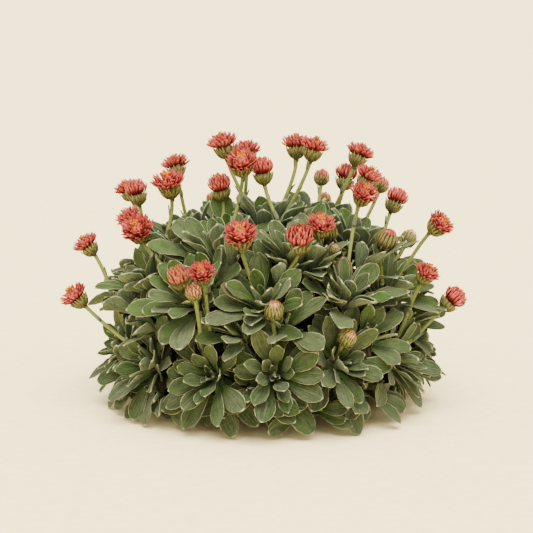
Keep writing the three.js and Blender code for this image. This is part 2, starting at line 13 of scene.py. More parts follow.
import bpy
import numpy as np
from mathutils.bvhtree import BVHTree
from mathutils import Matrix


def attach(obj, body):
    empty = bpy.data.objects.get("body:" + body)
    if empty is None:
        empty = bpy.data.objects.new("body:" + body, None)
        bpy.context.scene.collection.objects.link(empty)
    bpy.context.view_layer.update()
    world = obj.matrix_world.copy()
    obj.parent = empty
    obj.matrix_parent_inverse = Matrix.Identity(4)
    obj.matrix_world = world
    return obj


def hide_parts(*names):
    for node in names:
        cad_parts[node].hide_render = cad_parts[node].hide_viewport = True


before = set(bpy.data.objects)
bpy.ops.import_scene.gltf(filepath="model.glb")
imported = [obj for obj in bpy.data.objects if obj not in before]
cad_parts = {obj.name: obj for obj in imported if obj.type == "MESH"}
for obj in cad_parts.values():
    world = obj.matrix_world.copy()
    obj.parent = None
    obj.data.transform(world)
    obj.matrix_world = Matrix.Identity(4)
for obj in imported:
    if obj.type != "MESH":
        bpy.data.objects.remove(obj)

Array = np.ndarray
Colour = tuple[float, float, float, float]
Material = bpy.types.Material
Socket = bpy.types.NodeSocket
Wire = Any

MM = 0.001
BODY = "root"
GOLDEN_TURN = math.pi * (3 - math.sqrt(5))
UP = np.array([0.0, 0.0, 1.0])
EAST = np.array([1.0, 0.0, 0.0])
WORD = 0xFFFFFFFF
HASH_START = 0x9E3779B9
HASH_FACTORS = (0x85EBCA6B, 0xC2B2AE35)

log = logging.getLogger("pussytoes")


def chance(*keys: int) -> float:
    """Draws a number that depends on whole-number keys alone.

    Args:
        keys: Whole numbers that name the draw.

    Returns:
        A number from 0 to 1.
    """
    mixed = HASH_START
    for key in keys:
        mixed = ((mixed ^ (key & WORD)) * HASH_FACTORS[0]) & WORD
        mixed ^= mixed >> 13
        mixed = (mixed * HASH_FACTORS[1]) & WORD
        mixed ^= mixed >> 16
    return mixed / (WORD + 1)


def sway(amount: float, *keys: int) -> float:
    """Draws a number between minus and plus half an amount, fixed by its keys."""
    return amount * (chance(*keys) - 0.5)


def unit(vector: Array) -> Array:
    """Scales a vector, or each row of several, to length one."""
    return vector / np.linalg.norm(vector, axis=-1, keepdims=True)


def leaning(tilt: float, toward: float) -> Array:
    """Gives the direction some degrees from upright to a compass side, 0 along +X and 90 along +Y."""
    away, side = math.radians(tilt), math.radians(toward)
    return np.array([math.sin(away) * math.cos(side), math.sin(away) * math.sin(side), math.cos(away)])


def beside(axis: Array) -> Array:
    """Gives a direction square to an axis, which turns smoothly with it."""
    return unit(np.cross(UP + 0.3 * axis[[1, 2, 0]], axis))


def eased(value: Array, low: float, high: float) -> Array:
    """Rises smoothly from 0 at low to 1 at high."""
    share = np.clip((value - low) / (high - low), 0, 1)
    return share * share * (3 - 2 * share)


def linear(red: int, green: int, blue: int) -> Colour:
    """Turns a colour as seen on a screen, 0 to 255, into the renderer's linear one."""
    shares = [value / 255 for value in (red, green, blue)]
    return (*(s / 12.92 if s <= 0.04045 else ((s + 0.055) / 1.055) ** 2.4 for s in shares), 1.0)


@dataclass(frozen=True)
class Track:
    """Places along a path, with the directions ahead, across and out of the face at each."""

    point: Array
    ahead: Array
    across: Array
    face: Array


def straight(point: Array, ahead: Array, across: Array) -> Track:
    """Makes a track that keeps its directions.

    Args:
        point: Its points, one a row.
        ahead: The way ahead.
        across: The way across.

    Returns:
        The track.
    """
    rows = np.ones((len(point), 1))
    return Track(point, rows * ahead, rows * across, rows * np.cross(ahead, across))


@dataclass(frozen=True)
class Rib:
    """The rib of a leaf: an arc of a circle that leaves its root and turns outward, twisting as it goes.

    The sweep is how far its end has moved sideways, as a share of its length.
    """

    root: Array
    axis: Array
    out: Array
    start: float
    arch: float
    length: float
    roll: float = 0.0
    sweep: float = 0.0

    def at(self, along: Array) -> Track:
        """Finds places on the rib.

        Args:
            along: Shares of the length.

        Returns:
            The track at those shares.
        """
        angle = self.start + self.arch * along
        scale = self.length / self.arch
        point = (self.root + np.outer(scale * (np.cos(self.start) - np.cos(angle)), self.out)
                 + np.outer(scale * (np.sin(angle) - np.sin(self.start)), self.axis))
        ahead = np.outer(np.sin(angle), self.out) + np.outer(np.cos(angle), self.axis)
        level = np.broadcast_to(np.cross(self.axis, self.out), ahead.shape)
        point = point + (self.sweep * self.length * along**2)[:, None] * level
        ahead = unit(ahead + (2 * self.sweep * along)[:, None] * level)
        level = np.cross(np.cross(ahead, level), ahead)
        turn = (self.roll * along)[:, None]
        across = level * np.cos(turn) + np.cross(ahead, level) * np.sin(turn)
        return Track(point, ahead, across, np.cross(ahead, across))


@dataclass(frozen=True)
class Bend:
    """A smooth path with four corners, as a cubic curve."""

    corners: tuple[Array, Array, Array, Array]
    steps: ClassVar[int] = 200

    def points(self, share: Array) -> Array:
        """Gives the path's points.

        Args:
            share: Shares of its own parameter.

        Returns:
            One point a share.
        """
        one, two, three, four = self.corners
        t = np.atleast_1d(share)[:, None]
        s = 1 - t
        return s**3 * one + 3 * s * s * t * two + 3 * s * t * t * three + t**3 * four

    def evenly(self, shares: Array) -> Array:
        """Gives the path's points at shares of its length.

        Args:
            shares: Shares of the length, from 0 to 1.

        Returns:
            One point a share.
        """
        t = np.linspace(0, 1, self.steps + 1)
        lengths = np.linalg.norm(np.diff(self.points(t), axis=0), axis=1)
        run = np.concatenate([[0], np.cumsum(lengths)])
        return self.points(np.interp(np.asarray(shares) * run[-1], run, t))

    def length(self) -> float:
        """Measures the path."""
        points = self.points(np.linspace(0, 1, self.steps))
        return float(np.linalg.norm(np.diff(points, axis=0), axis=1).sum())

    def track(self, shares: Array) -> Track:
        """Carries a frame along the path without twisting it.

        Args:
            shares: Shares of the length.

        Returns:
            The track at those shares.
        """
        point = self.evenly(shares)
        ahead = unit(np.gradient(point, axis=0))
        across = [unit(np.cross(ahead[0], UP + 0.1 * ahead[0][[1, 2, 0]]))]
        for direction in ahead[1:]:
            across.append(unit(across[-1] - direction * np.dot(across[-1], direction)))
        sideways = np.array(across)
        return Track(point, ahead, sideways, np.cross(ahead, sideways))


@dataclass(frozen=True)
class Outline:
    """How wide a blade is along its length, as shares of its full width."""

    foot: float = 0.21
    waist: float = 0.12
    widest: float = 0.77
    end: float = 1.04
    blunt: float = 2.1
    point: float = 0.62

    def stations(self, count: int) -> Array:
        """Spreads places along the blade, closer together towards its tip."""
        return self.end * np.sin(np.linspace(0, math.pi / 2 * 0.985, count))

    def width(self, along: Array) -> Array:
        """Gives the width shares of the blade.

        Args:
            along: Places along it.

        Returns:
            One share a place.
        """
        body = self.foot + (1 - self.foot) * eased(along, self.waist, self.widest)
        past = np.clip((along - self.widest) / (self.end - self.widest), 0, 1)
        return body * (1 - past**self.blunt) ** self.point


LEAF_SPREAD = np.array([1, 0.8, 0.42, 0, -0.42, -0.8, -1])
PETAL_SPREAD = np.array([1, 0.55, 0, -0.55, -1])
SCALE_SPREAD = np.array([1, 0.45, -0.45, -1])
PLUMPNESS = 3.2
FOLD_POWER = 1.4


class Surface:
    """One mesh in the making, in millimetres: closed tubes and blades, with values at their points.

    Each point holds two vectors for the finishes. Its place is the share along its blade, the share across
    and the side. Its nature is three values that its blade has as a whole.
    """

    def __init__(self) -> None:
        """Starts with nothing."""
        self.points: list[Array] = []
        self.places: list[Array] = []
        self.natures: list[Array] = []
        self.faces: list[list[int]] = []
        self.finishes: list[int] = []
        self.count = 0

    def tube(self, rings: Array, place: Array, nature: Sequence[float], finish: int = 0) -> None:
        """Adds a closed tube through rings that run counter-clockwise about the way ahead.

        Args:
            rings: Points, by ring and by place in the ring.
            place: The place vector of each point.
            nature: The nature vector of the whole tube.
            finish: The index of its material.
        """
        rows, sides = rings.shape[:2]
        grid = self.count + np.arange(rows * sides).reshape(rows, sides)
        turned = np.roll(grid, -1, axis=1)
        foot, tip = self.count + rows * sides, self.count + rows * sides + 1
        faces = np.stack([grid[:-1], turned[:-1], turned[1:], grid[1:]], axis=-1).reshape(-1, 4).tolist()
        faces += [[b, a, foot] for a, b in zip(grid[0].tolist(), turned[0].tolist())]
        faces += [[a, b, tip] for a, b in zip(grid[-1].tolist(), turned[-1].tolist())]
        self.points += [rings.reshape(-1, 3), rings[[0, -1]].mean(axis=1)]
        self.places += [place.reshape(-1, 3), place[[0, -1]].mean(axis=1)]
        self.natures.append(np.tile(np.asarray(nature, float), (rows * sides + 2, 1)))
        self.faces += faces
        self.finishes += [finish] * len(faces)
        self.count += rows * sides + 2

    def blade(self, track: Track, along: Array, half: Array, thick: Array, lift: Array,
              spread: Array, nature: Sequence[float], finish: int = 0) -> None:
        """Adds a thin closed blade. Its places have side 1 on the face and -1 underneath.

        Args:
            track: Places and directions along the rib.
            along: Shares of the blade's length, for the finish.
            half: Half width at each place.
            thick: Thickness at each place.
            lift: How far the edges stand above the rib, by place and by point of the ring.
            spread: Shares of the half width, from the right edge over the face to the left edge.
            nature: The nature vector of the whole blade.
            finish: The index of its material.
        """
        across = np.concatenate([spread, -spread[1:-1]])
        side = np.concatenate([np.ones(len(spread)), -np.ones(len(spread) - 2)])
        side[[0, len(spread) - 1]] = 0
        plump = side * np.sqrt(np.clip(1 - np.abs(across) ** PLUMPNESS, 0, 1))
        height = lift * np.abs(across) ** FOLD_POWER + thick[:, None] / 2 * plump
        rings = (track.point[:, None] + (half[:, None] * across)[..., None] * track.across[:, None]
                 + height[..., None] * track.face[:, None])
        place = np.broadcast_arrays((along / along[-1])[:, None], across, side)
        self.tube(rings, np.stack(place, axis=-1), nature, finish)

    def pipe(self, track: Track, radii: Array, sides: int, nature: Sequence[float],
             finish: int = 0) -> None:
        """Adds a round closed pipe along a track.

        Args:
            track: Places and directions along its middle.
            radii: Its radius at each place, or at each place and side.
            sides: How many sides it has.
            nature: The nature vector of the whole pipe.
            finish: The index of its material.
        """
        angle = 2 * math.pi * np.arange(sides) / sides
        radius = np.broadcast_to(radii if radii.ndim == 2 else radii[:, None], (len(track.point), sides))
        rings = (track.point[:, None] + (radius * np.cos(angle))[..., None] * track.across[:, None]
                 + (radius * np.sin(angle))[..., None] * track.face[:, None])
        place = np.broadcast_arrays(np.linspace(0, 1, len(rings))[:, None], np.sin(angle), np.cos(angle))
        self.tube(rings, np.stack(place, axis=-1), nature, finish)

    def to_object(self, name: str, materials: Sequence[Material]) -> bpy.types.Object:
        """Makes the mesh and its object, riding on the one body.

        Args:
            name: The piece's name.
            materials: Its materials, in the order of the finish indices.

        Returns:
            The object.
        """
        mesh = bpy.data.meshes.new(name)
        mesh.from_pydata((np.concatenate(self.points) * MM).tolist(), [], self.faces)
        for label, values in (("place", self.places), ("nature", self.natures)):
            attribute = mesh.attributes.new(label, "FLOAT_VECTOR", "POINT")
            attribute.data.foreach_set("vector", np.concatenate(values).ravel())
        mesh.polygons.foreach_set("material_index", self.finishes)
        mesh.polygons.foreach_set("use_smooth", [True] * len(mesh.polygons))
        for material in materials:
            mesh.materials.append(material)
        mesh.update()
        piece = bpy.data.objects.new(name, mesh)
        bpy.context.scene.collection.objects.link(piece)
        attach(piece, BODY)
        log.info("%s: %d faces", name, len(self.faces))
        return piece


class Wiring:
    """Lays nodes in a tree and joins them."""

    def __init__(self, tree: bpy.types.NodeTree) -> None:
        """Takes the tree that the nodes go in."""
        self.tree = tree

    def add(self, kind: str, **settings: Any) -> bpy.types.Node:
        """Adds a node.

        Args:
            kind: The node's type without its ShaderNode prefix, or with the NodeGroup prefix as it is.
            settings: Its properties.

        Returns:
            The node.
        """
        node = self.tree.nodes.new(kind if kind.startswith("NodeGroup") else "ShaderNode" + kind)
        for name, value in settings.items():
            setattr(node, name, value)
        return node

    def feed(self, socket: Socket, value: Wire) -> None:
        """Joins a socket to the one given, or sets it to the plain value given."""
        if isinstance(value, Socket):
            self.tree.links.new(value, socket)
        else:
            socket.default_value = value

    def lay(self, kind: str, inputs: dict[Any, Wire], output: int = 0, **settings: Any) -> Socket:
        """Adds a node and feeds it.

        Args:
            kind: The node's type.
            inputs: What its inputs get, by name or number.
            output: The number of the output that is wanted.
            settings: Its properties.

        Returns:
            That output.
        """
        node = self.add(kind, **settings)
        for name, value in inputs.items():
            self.feed(node.inputs[name], value)
        return node.outputs[output]

    def math(self, operation: str, one: Wire, other: Wire = 0.0, clamped: bool = False) -> Socket:
        """Works out a number from one or two others, kept from 0 to 1 if clamped."""
        return self.lay("Math", {0: one, 1: other}, operation=operation, use_clamp=clamped)

    def times(self, one: Wire, other: Wire) -> Socket:
        """Multiplies two numbers."""
        return self.math("MULTIPLY", one, other)

    def plus(self, one: Wire, other: Wire) -> Socket:
        """Adds two numbers."""
        return self.math("ADD", one, other)

    def minus(self, one: Wire, other: Wire) -> Socket:
        """Takes the second number from the first."""
        return self.math("SUBTRACT", one, other)

    def mix(self, share: Wire, one: Wire, other: Wire) -> Socket:
        """Mixes two colours by the share of the second."""
        return self.lay("Mix", {0: share, 6: one, 7: other}, 2, data_type="RGBA")

    def choose(self, share: Wire, one: Wire, other: Wire) -> Socket:
        """Mixes two numbers by the share of the second."""
        return self.lay("Mix", {0: share, 2: one, 3: other}, data_type="FLOAT")

    def between(self, value: Wire, low: float, high: float, first: float = 0.0, last: float = 1.0) -> Socket:
        """Eases from first, as long as the value is under low, to last, once it is over high."""
        inputs = dict(enumerate((value, low, high, first, last)))
        return self.lay("MapRange", inputs, interpolation_type="SMOOTHSTEP")

    def noise(self, vector: Wire, scale: Wire, detail: float = 3.0, roughness: float = 0.55) -> Socket:
        """Gives noise from 0 to 1 at a vector. Detail is how many finer layers it has."""
        return self.lay("TexNoise", {"Vector": vector, "Scale": scale, "Detail": detail,
                                     "Roughness": roughness})

    def split(self, vector: Wire) -> tuple[Socket, Socket, Socket]:
        """Splits a vector in its three numbers."""
        outputs = self.lay("SeparateXYZ", {0: vector}).node.outputs
        return outputs[0], outputs[1], outputs[2]

    def join(self, one: Wire, two: Wire, three: Wire) -> Socket:
        """Joins three numbers in a vector."""
        return self.lay("CombineXYZ", {0: one, 1: two, 2: three})

    def value_at(self, name: str) -> Socket:
        """Reads one of the vectors that a surface holds at its points."""
        return self.add("Attribute", attribute_type="GEOMETRY", attribute_name=name).outputs["Vector"]

    def position(self) -> Socket:
        """Gives the object's own coordinates, in metres."""
        return self.add("TexCoord").outputs["Object"]

    def bump(self, height: Wire, depth: float, strength: float = 1.0) -> Socket:
        """Turns a height into a normal. The depth is what a height of 1 stands for, in metres."""
        return self.lay("Bump", {"Strength": strength, "Distance": depth, "Height": height})


class SharedEffect(Wiring):
    """A shader node group with named inputs and outputs, built once and placed in each material."""

    title: ClassVar[str]
    takes: ClassVar[dict[str, tuple[str, Any]]]
    gives: ClassVar[dict[str, str]]
    made: ClassVar[dict[str, bpy.types.NodeTree]] = {}

    def __init__(self) -> None:
        """Builds the group."""
        super().__init__(bpy.data.node_groups.new(self.title, "ShaderNodeTree"))
        face = self.tree.interface
        for name, (kind, value) in self.takes.items():
            socket = face.new_socket(name=name, in_out="INPUT", socket_type="NodeSocket" + kind)
            socket.default_value = value
        for name, kind in self.gives.items():
            face.new_socket(name=name, in_out="OUTPUT", socket_type="NodeSocket" + kind)
        entry, way_out = self.add("NodeGroupInput"), self.add("NodeGroupOutput")
        for name, socket in self.wire({name: entry.outputs[name] for name in self.takes}).items():
            self.feed(way_out.inputs[name], socket)

    def wire(self, given: dict[str, Socket]) -> dict[str, Socket]:
        """Lays the group's own nodes, from its inputs by name to its outputs by name."""
        raise NotImplementedError

    @classmethod
    def place(cls, wiring: Wiring, **values: Wire) -> dict[str, Socket]:
        """Places the effect in a material.

        Args:
            wiring: The material's wiring.
            values: The inputs by name, in lower case.

        Returns:
            The outputs by name.
        """
        if cls.title not in cls.made:
            cls.made[cls.title] = cls().tree
        node = wiring.add("Group", node_tree=cls.made[cls.title])
        for name, value in values.items():
            wiring.feed(node.inputs[name.title()], value)
        return {name: node.outputs[name] for name in cls.gives}


class Down(SharedEffect):
    """Short matted hairs: a mask of where they cover the skin, and their height."""

    title = "Woolly down"
    takes = {"Vector": ("Vector", (0, 0, 0)), "Cover": ("Float", 0.5), "Fineness": ("Float", 1500.0)}
    gives = {"Mask": "Float", "Height": "Float"}

    def wire(self, given: dict[str, Socket]) -> dict[str, Socket]:
        """Lays fine hairs over broader tufts.

        Args:
            given: The inputs by name.

        Returns:
            The outputs by name.
        """
        hairs = self.noise(given["Vector"], given["Fineness"], 4.0, 0.7)
        tufts = self.noise(given["Vector"], self.times(given["Fineness"], 0.3), 2.0)
        fine, broad = self.between(hairs, 0.3, 0.7, -0.32, 0.32), self.between(tufts, 0.3, 0.7, -0.1, 0.1)
        mask = self.math("ADD", given["Cover"], self.plus(fine, broad), clamped=True)
        return {"Mask": mask, "Height": self.times(mask, hairs)}


class Streaks(SharedEffect):
    """Veins or streaks that run along a blade and fan out with it."""

    title = "Streaks along a blade"
    takes = {"Place": ("Vector", (0, 0, 0)), "Seed": ("Float", 0.0), "Count": ("Float", 6.0),
             "Stretch": ("Float", 1.5)}
    gives = {"Mask": "Float"}

    def wire(self, given: dict[str, Socket]) -> dict[str, Socket]:
        """Reads noise that is stretched along the blade, elsewhere for each seed.

        Args:
            given: The inputs by name.

        Returns:
            The outputs by name.
        """
        along, across, side = self.split(given["Place"])
        vector = self.join(self.times(along, given["Stretch"]), self.times(across, given["Count"]),
                           self.plus(side, self.times(given["Seed"], 37.0)))
        return {"Mask": self.between(self.noise(vector, 1.0, 2.0), 0.36, 0.64)}


class Blotches(SharedEffect):
    """Soft patches of a second colour, and a shade that differs from blade to blade."""

    title = "Blotches and shades"
    takes = {"Colour": ("Color", (0.5, 0.5, 0.5, 1)), "Second": ("Color", (0.3, 0.3, 0.3, 1)),
             "Vector": ("Vector", (0, 0, 0)), "Scale": ("Float", 60.0), "Amount": ("Float", 0.5),
             "Shade": ("Float", 0.5)}
    gives = {"Colour": "Color"}

    def wire(self, given: dict[str, Socket]) -> dict[str, Socket]:
        """Mixes the colours by noise, and lightens or darkens the answer.

        Args:
            given: The inputs by name.

        Returns:
            The outputs by name.
        """
        patch = self.between(self.noise(given["Vector"], given["Scale"]), 0.35, 0.65)
        mixed = self.mix(self.times(patch, given["Amount"]), given["Colour"], given["Second"])
        tone = self.lay("HueSaturation", {"Hue": self.between(given["Shade"], 0.0, 1.0, 0.51, 0.49),
                                          "Value": self.between(given["Shade"], 0.0, 1.0, 0.78, 1.22),
                                          "Color": mixed})
        return {"Colour": tone}


class Dressing(Wiring):
    """The wiring of one material, with its shader."""

    def __init__(self, name: str, roughness: float, specular: float = 0.1, sheen: float = 0.0,
                 sheen_tint: Colour = (1, 1, 1, 1)) -> None:
        """Starts the material, with its constant values set on its shader.

        Args:
            name: The material's name.
            roughness: Its roughness where nothing else decides it.
            specular: Its specular level.
            sheen: How much light its down scatters.
            sheen_tint: The colour of that light.
        """
        self.material = bpy.data.materials.new(name)
        self.material.use_nodes = True
        super().__init__(self.material.node_tree)
        self.shader = self.tree.nodes["Principled BSDF"]
        self.shader.inputs["Roughness"].default_value = roughness
        self.shader.inputs["Specular IOR Level"].default_value = specular
        self.shader.inputs["Sheen Weight"].default_value = sheen
        self.shader.inputs["Sheen Roughness"].default_value = 0.5
        self.shader.inputs["Sheen Tint"].default_value = sheen_tint

    def dress(self, **values: Wire) -> Material:
        """Feeds the shader.

        Args:
            values: What its inputs get, by name, in lower case and with _ for spaces.

        Returns:
            The finished material.
        """
        for name, value in values.items():
            self.feed(self.shader.inputs[name.replace("_", " ").title()], value)
        return self.material


@dataclass(frozen=True)
class LeafFinish:
    """Grey down over green skin, thin at the foot of a blade, with a thin pale margin."""

    name: str = "woolly_leaf"
    skin: Colour = linear(44, 70, 19)
    deep: Colour = linear(22, 38, 7)
    down: Colour = linear(46, 53, 32)
    pale_down: Colour = linear(91, 98, 78)
    underside: Colour = linear(116, 132, 108)
    margin: Colour = linear(184, 184, 144)
    withered: Colour = linear(84, 68, 42)
    sheen_tint: Colour = linear(225, 228, 205)

    def material(self) -> Material:
        """Builds the material. A leaf's nature is its shade, how bare and green it is and how dry.

        Returns:
            The material.
        """
        wiring = Dressing(self.name, roughness=0.72, sheen=0.12, sheen_tint=self.sheen_tint)
        place, position = wiring.value_at("place"), wiring.position()
        along, across, side = wiring.split(place)
        tint, fresh, dry = wiring.split(wiring.value_at("nature"))
        edge = wiring.math("ABSOLUTE", across)
        beneath = wiring.math("LESS_THAN", side, -0.05)
        # Painted shade and painted light: through the blades' shade, leaves come out darker low on the dome
        # and lighter high on it.
        high = wiring.between(wiring.split(position)[2], 0.01, 0.075, -0.1, 1.1)
        shade = wiring.plus(wiring.times(tint, 0.35), high)
        skin = Blotches.place(wiring, colour=self.skin, second=self.deep, vector=position, scale=150.0,
                              amount=0.7, shade=shade)["Colour"]
        wool = Blotches.place(wiring, colour=self.down, second=self.pale_down, vector=position, scale=480.0,
                              amount=0.4, shade=shade)["Colour"]
        veins = Streaks.place(wiring, place=place, seed=tint, count=3.2, stretch=1.2)["Mask"]
        lines = Streaks.place(wiring, place=place, seed=tint, count=9.0, stretch=2.6)["Mask"]
        wool = wiring.mix(wiring.between(lines, 0.0, 1.0, 0.5, 0.0), wool, self.pale_down)
        wool = wiring.mix(wiring.times(beneath, 0.65), wool, self.underside)
        combed = wiring.plus(wiring.times(veins, 0.12), wiring.times(lines, 0.38))
        grown = wiring.minus(wiring.between(along, 0.08, 0.56, 0.0, 1.15), wiring.times(fresh, 0.95))
        lower = wiring.minus(wiring.between(along, 0.0, 0.4, 0.35, 0.9), combed)
        cover = wiring.choose(beneath, wiring.minus(grown, combed), lower)
        hairs = Down.place(wiring, vector=position, cover=cover, fineness=1700.0)
        colour = wiring.mix(hairs["Mask"], skin, wool)
        rib = wiring.times(wiring.between(edge, 0.0, 0.09, 0.35, 0.0), wiring.between(along, 0.9, 0.3))
        colour = wiring.mix(rib, colour, self.pale_down)
        rim = wiring.times(wiring.between(edge, 0.91, 0.98), wiring.between(along, 0.12, 0.45))
        tip = wiring.between(along, 0.965, 0.995)
        wavy = wiring.between(wiring.noise(position, 420.0, 2.0), 0.3, 0.65, 0.45, 1.0)
        colour = wiring.mix(wiring.times(wiring.math("MAXIMUM", rim, tip), wavy), colour, self.margin)
        browned = wiring.times(dry, wiring.between(along, 0.45, 1.0))
        relief = wiring.plus(hairs["Height"], wiring.times(veins, 0.6))
        return wiring.dress(base_color=wiring.mix(browned, colour, self.withered),
                            normal=wiring.bump(relief, 0.0005, 0.8),
                            roughness=wiring.between(hairs["Mask"], 0.0, 1.0, 0.5, 0.86))


@dataclass(frozen=True)
class DeadLeafFinish:
    """Withered leaves, dark brown to straw, with dry veins, their browns deepened nearly to black as painted
    shade in the gaps under the foliage.
    """

    name: str = "dead_leaf"
    # Painted shade: these colours are darkened nearly to black so that the dead leaves read as the shade in
    # the gaps between the rosettes.
    brown: Colour = linear(26, 24, 14)
    straw: Colour = linear(62, 55, 36)
    dark: Colour = linear(10, 11, 6)

    def material(self) -> Material:
        """Builds the material. A dead leaf's nature is its shade and how much straw shows on it.

        Returns:
            The material.
        """
        wiring = Dressing(self.name, roughness=0.9)
        tint, straw, _ = wiring.split(wiring.value_at("nature"))
        base = Blotches.place(wiring, colour=self.brown, second=self.dark, vector=wiring.position(),
                              scale=160.0, amount=0.9, shade=tint)["Colour"]
        veins = Streaks.place(wiring, place=wiring.value_at("place"), seed=tint, count=5.0,
                              stretch=1.6)["Mask"]
        return wiring.dress(base_color=wiring.mix(wiring.times(veins, straw), base, self.straw),
                            normal=wiring.bump(veins, 0.0004))


@dataclass(frozen=True)
class StemFinish:
    """Yellow-green flower stems under a thin felt of hairs, a little duller low down."""

    name: str = "woolly_stem"
    skin: Colour = linear(92, 94, 42)
    low: Colour = linear(74, 78, 40)
    felt: Colour = linear(132, 144, 82)
    sheen_tint: Colour = linear(230, 230, 200)

    def material(self) -> Material:
        """Builds the material.

        Returns:
            The material.
        """
        wiring = Dressing(self.name, roughness=0.7, sheen=0.05, sheen_tint=self.sheen_tint)
        position = wiring.position()
        along, _, _ = wiring.split(wiring.value_at("place"))
        tint, _, _ = wiring.split(wiring.value_at("nature"))
        skin = Blotches.place(wiring, colour=self.skin, second=self.low, vector=position, scale=110.0,
                              amount=0.8, shade=tint)["Colour"]
        hairs = Down.place(wiring, vector=position, cover=wiring.between(along, 0.0, 1.0, 0.24, 0.36),
                           fineness=2400.0)
        return wiring.dress(base_color=wiring.mix(hairs["Mask"], skin, self.felt),
                            normal=wiring.bump(hairs["Height"], 0.0003, 0.7))


@dataclass(frozen=True)
class BractFinish:
    """Overlapping bracts: olive at the foot, papery and pale at the tip, flushed red on some heads."""

    name: str = "bract"
    foot: Colour = linear(58, 62, 27)
    body: Colour = linear(86, 88, 44)
    paper: Colour = linear(162, 158, 98)
    flush: Colour = linear(136, 42, 40)
    sheen_tint: Colour = linear(235, 232, 205)

    def material(self) -> Material:
        """Builds the material. A bract's nature is its shade, how papery it is and how flushed.

        Returns:
            The material.
        """
        wiring = Dressing(self.name, roughness=0.62, specular=0.15, sheen=0.04, sheen_tint=self.sheen_tint)
        place, position = wiring.value_at("place"), wiring.position()
        along, across, _ = wiring.split(place)
        tint, paper, flush = wiring.split(wiring.value_at("nature"))
        green = Blotches.place(wiring, colour=self.foot, second=self.body, vector=position, scale=300.0,
                               amount=0.8, shade=tint)["Colour"]
        veins = Streaks.place(wiring, place=place, seed=tint, count=4.0, stretch=1.4)["Mask"]
        edge = wiring.between(wiring.math("ABSOLUTE", across), 0.35, 0.9, 0.0, 0.65)
        dry = wiring.minus(wiring.plus(wiring.between(along, 0.5, 1.0), edge), wiring.times(veins, 0.35))
        colour = wiring.mix(wiring.math("MULTIPLY", dry, paper, clamped=True), green, self.paper)
        blush = wiring.times(wiring.between(along, 0.45, 0.9), flush)
        hairs = Down.place(wiring, vector=position, cover=0.4, fineness=2600.0)
        relief = wiring.plus(wiring.times(veins, 0.7), hairs["Height"])
        return wiring.dress(base_color=wiring.mix(blush, colour, self.flush),
                            normal=wiring.bump(relief, 0.0003, 0.8))


@dataclass(frozen=True)
class FloretFinish:
    """Coral florets: darkened towards the throat as painted shade deep in the head, pink at the tip partly as
    painted highlight, orange to yellow towards the disc.
    """

    name: str = "coral_floret"
    throat: Colour = linear(84, 12, 16)
    coral: Colour = linear(128, 20, 27)
    rose: Colour = linear(162, 38, 44)
    blush: Colour = linear(238, 122, 110)
    gold: Colour = linear(204, 124, 0)
    faded: Colour = linear(218, 160, 112)
    sheen_tint: Colour = linear(255, 205, 190)

    def material(self) -> Material:
        """Builds the material. A floret's nature is its shade, its gold and how faded it is.

        Returns:
            The material.
        """
        wiring = Dressing(self.name, roughness=0.5, specular=0.15, sheen=0.03, sheen_tint=self.sheen_tint)
        place = wiring.value_at("place")
        along, across, side = wiring.split(place)
        tint, gold, faded = wiring.split(wiring.value_at("nature"))
        body = Blotches.place(wiring, colour=self.coral, second=self.rose, vector=wiring.position(),
                              scale=260.0, amount=0.8, shade=tint)["Colour"]
        streaks = Streaks.place(wiring, place=place, seed=tint, count=3.5, stretch=1.1)["Mask"]
        # Painted shade: each floret darkens towards its foot, deep in the head, where shade falls between the
        # florets.
        colour = wiring.mix(wiring.between(along, 0.2, 0.75, 1.0, 0.0), body, self.throat)
        colour = wiring.mix(wiring.between(tint, 0.0, 0.3, 0.45, 0.0), colour, self.throat)
        # The pale pink on the florets' backs, outer ends and edges is partly their own paler tone and partly
        # painted highlight.
        back = wiring.times(wiring.math("LESS_THAN", side, -0.05), 0.3)
        pale = wiring.times(wiring.plus(streaks, back), wiring.between(along, 0.3, 1.0, 0.0, 0.5))
        pale = wiring.plus(pale, wiring.between(tint, 0.72, 1.0, 0.0, 0.3))
        rim = wiring.times(wiring.between(wiring.math("ABSOLUTE", across), 0.7, 1.0, 0.0, 0.35),
                           wiring.between(along, 0.4, 0.8))
        for share, tone in ((pale, self.blush), (rim, self.blush), (gold, self.gold), (faded, self.faded)):
            colour = wiring.mix(share, colour, tone)
        return wiring.dress(base_color=colour, normal=wiring.bump(streaks, 0.00025, 0.8),
                            subsurface_weight=0.12, subsurface_radius=(1.0, 0.35, 0.25),
                            subsurface_scale=0.0012)


@dataclass(frozen=True)
class EarthyFinish:
    """A dull mineral or woody surface with grain, patches and fine relief."""

    name: str
    colour: Colour
    second: Colour
    speck: Colour
    patch_scale: float
    grain_scale: float
    relief: float
    speck_start: float = 0.62
    speck_full: float = 0.7

    def material(self) -> Material:
        """Builds the material.

        Returns:
            The material.
        """
        wiring = Dressing(self.name, roughness=0.92)
        position = wiring.position()
        patches = Blotches.place(wiring, colour=self.colour, second=self.second, vector=position,
                                 scale=self.patch_scale, amount=0.9, shade=wiring.noise(position, 35.0))
        grain = wiring.noise(position, self.grain_scale, 5.0, 0.65)
        specks = wiring.between(grain, self.speck_start, self.speck_full, 0.0, 0.7)
        return wiring.dress(base_color=wiring.mix(specks, patches["Colour"], self.speck),
                            roughness=wiring.between(grain, 0.3, 0.7, 0.8, 0.98),
                            normal=wiring.bump(grain, self.relief))


CLAY = EarthyFinish("dark_clay", linear(53, 38, 31), linear(38, 28, 22), linear(84, 70, 56),
                    patch_scale=38.0, grain_scale=900.0, relief=0.0003)
SOIL = EarthyFinish("potting_soil", linear(27, 22, 17), linear(17, 14, 11), linear(62, 52, 40),
                    patch_scale=150.0, grain_scale=700.0, relief=0.0012)
BARK = EarthyFinish("woody_stem", linear(58, 48, 36), linear(38, 30, 22), linear(84, 72, 52),
                    patch_scale=140.0, grain_scale=1100.0, relief=0.0006)


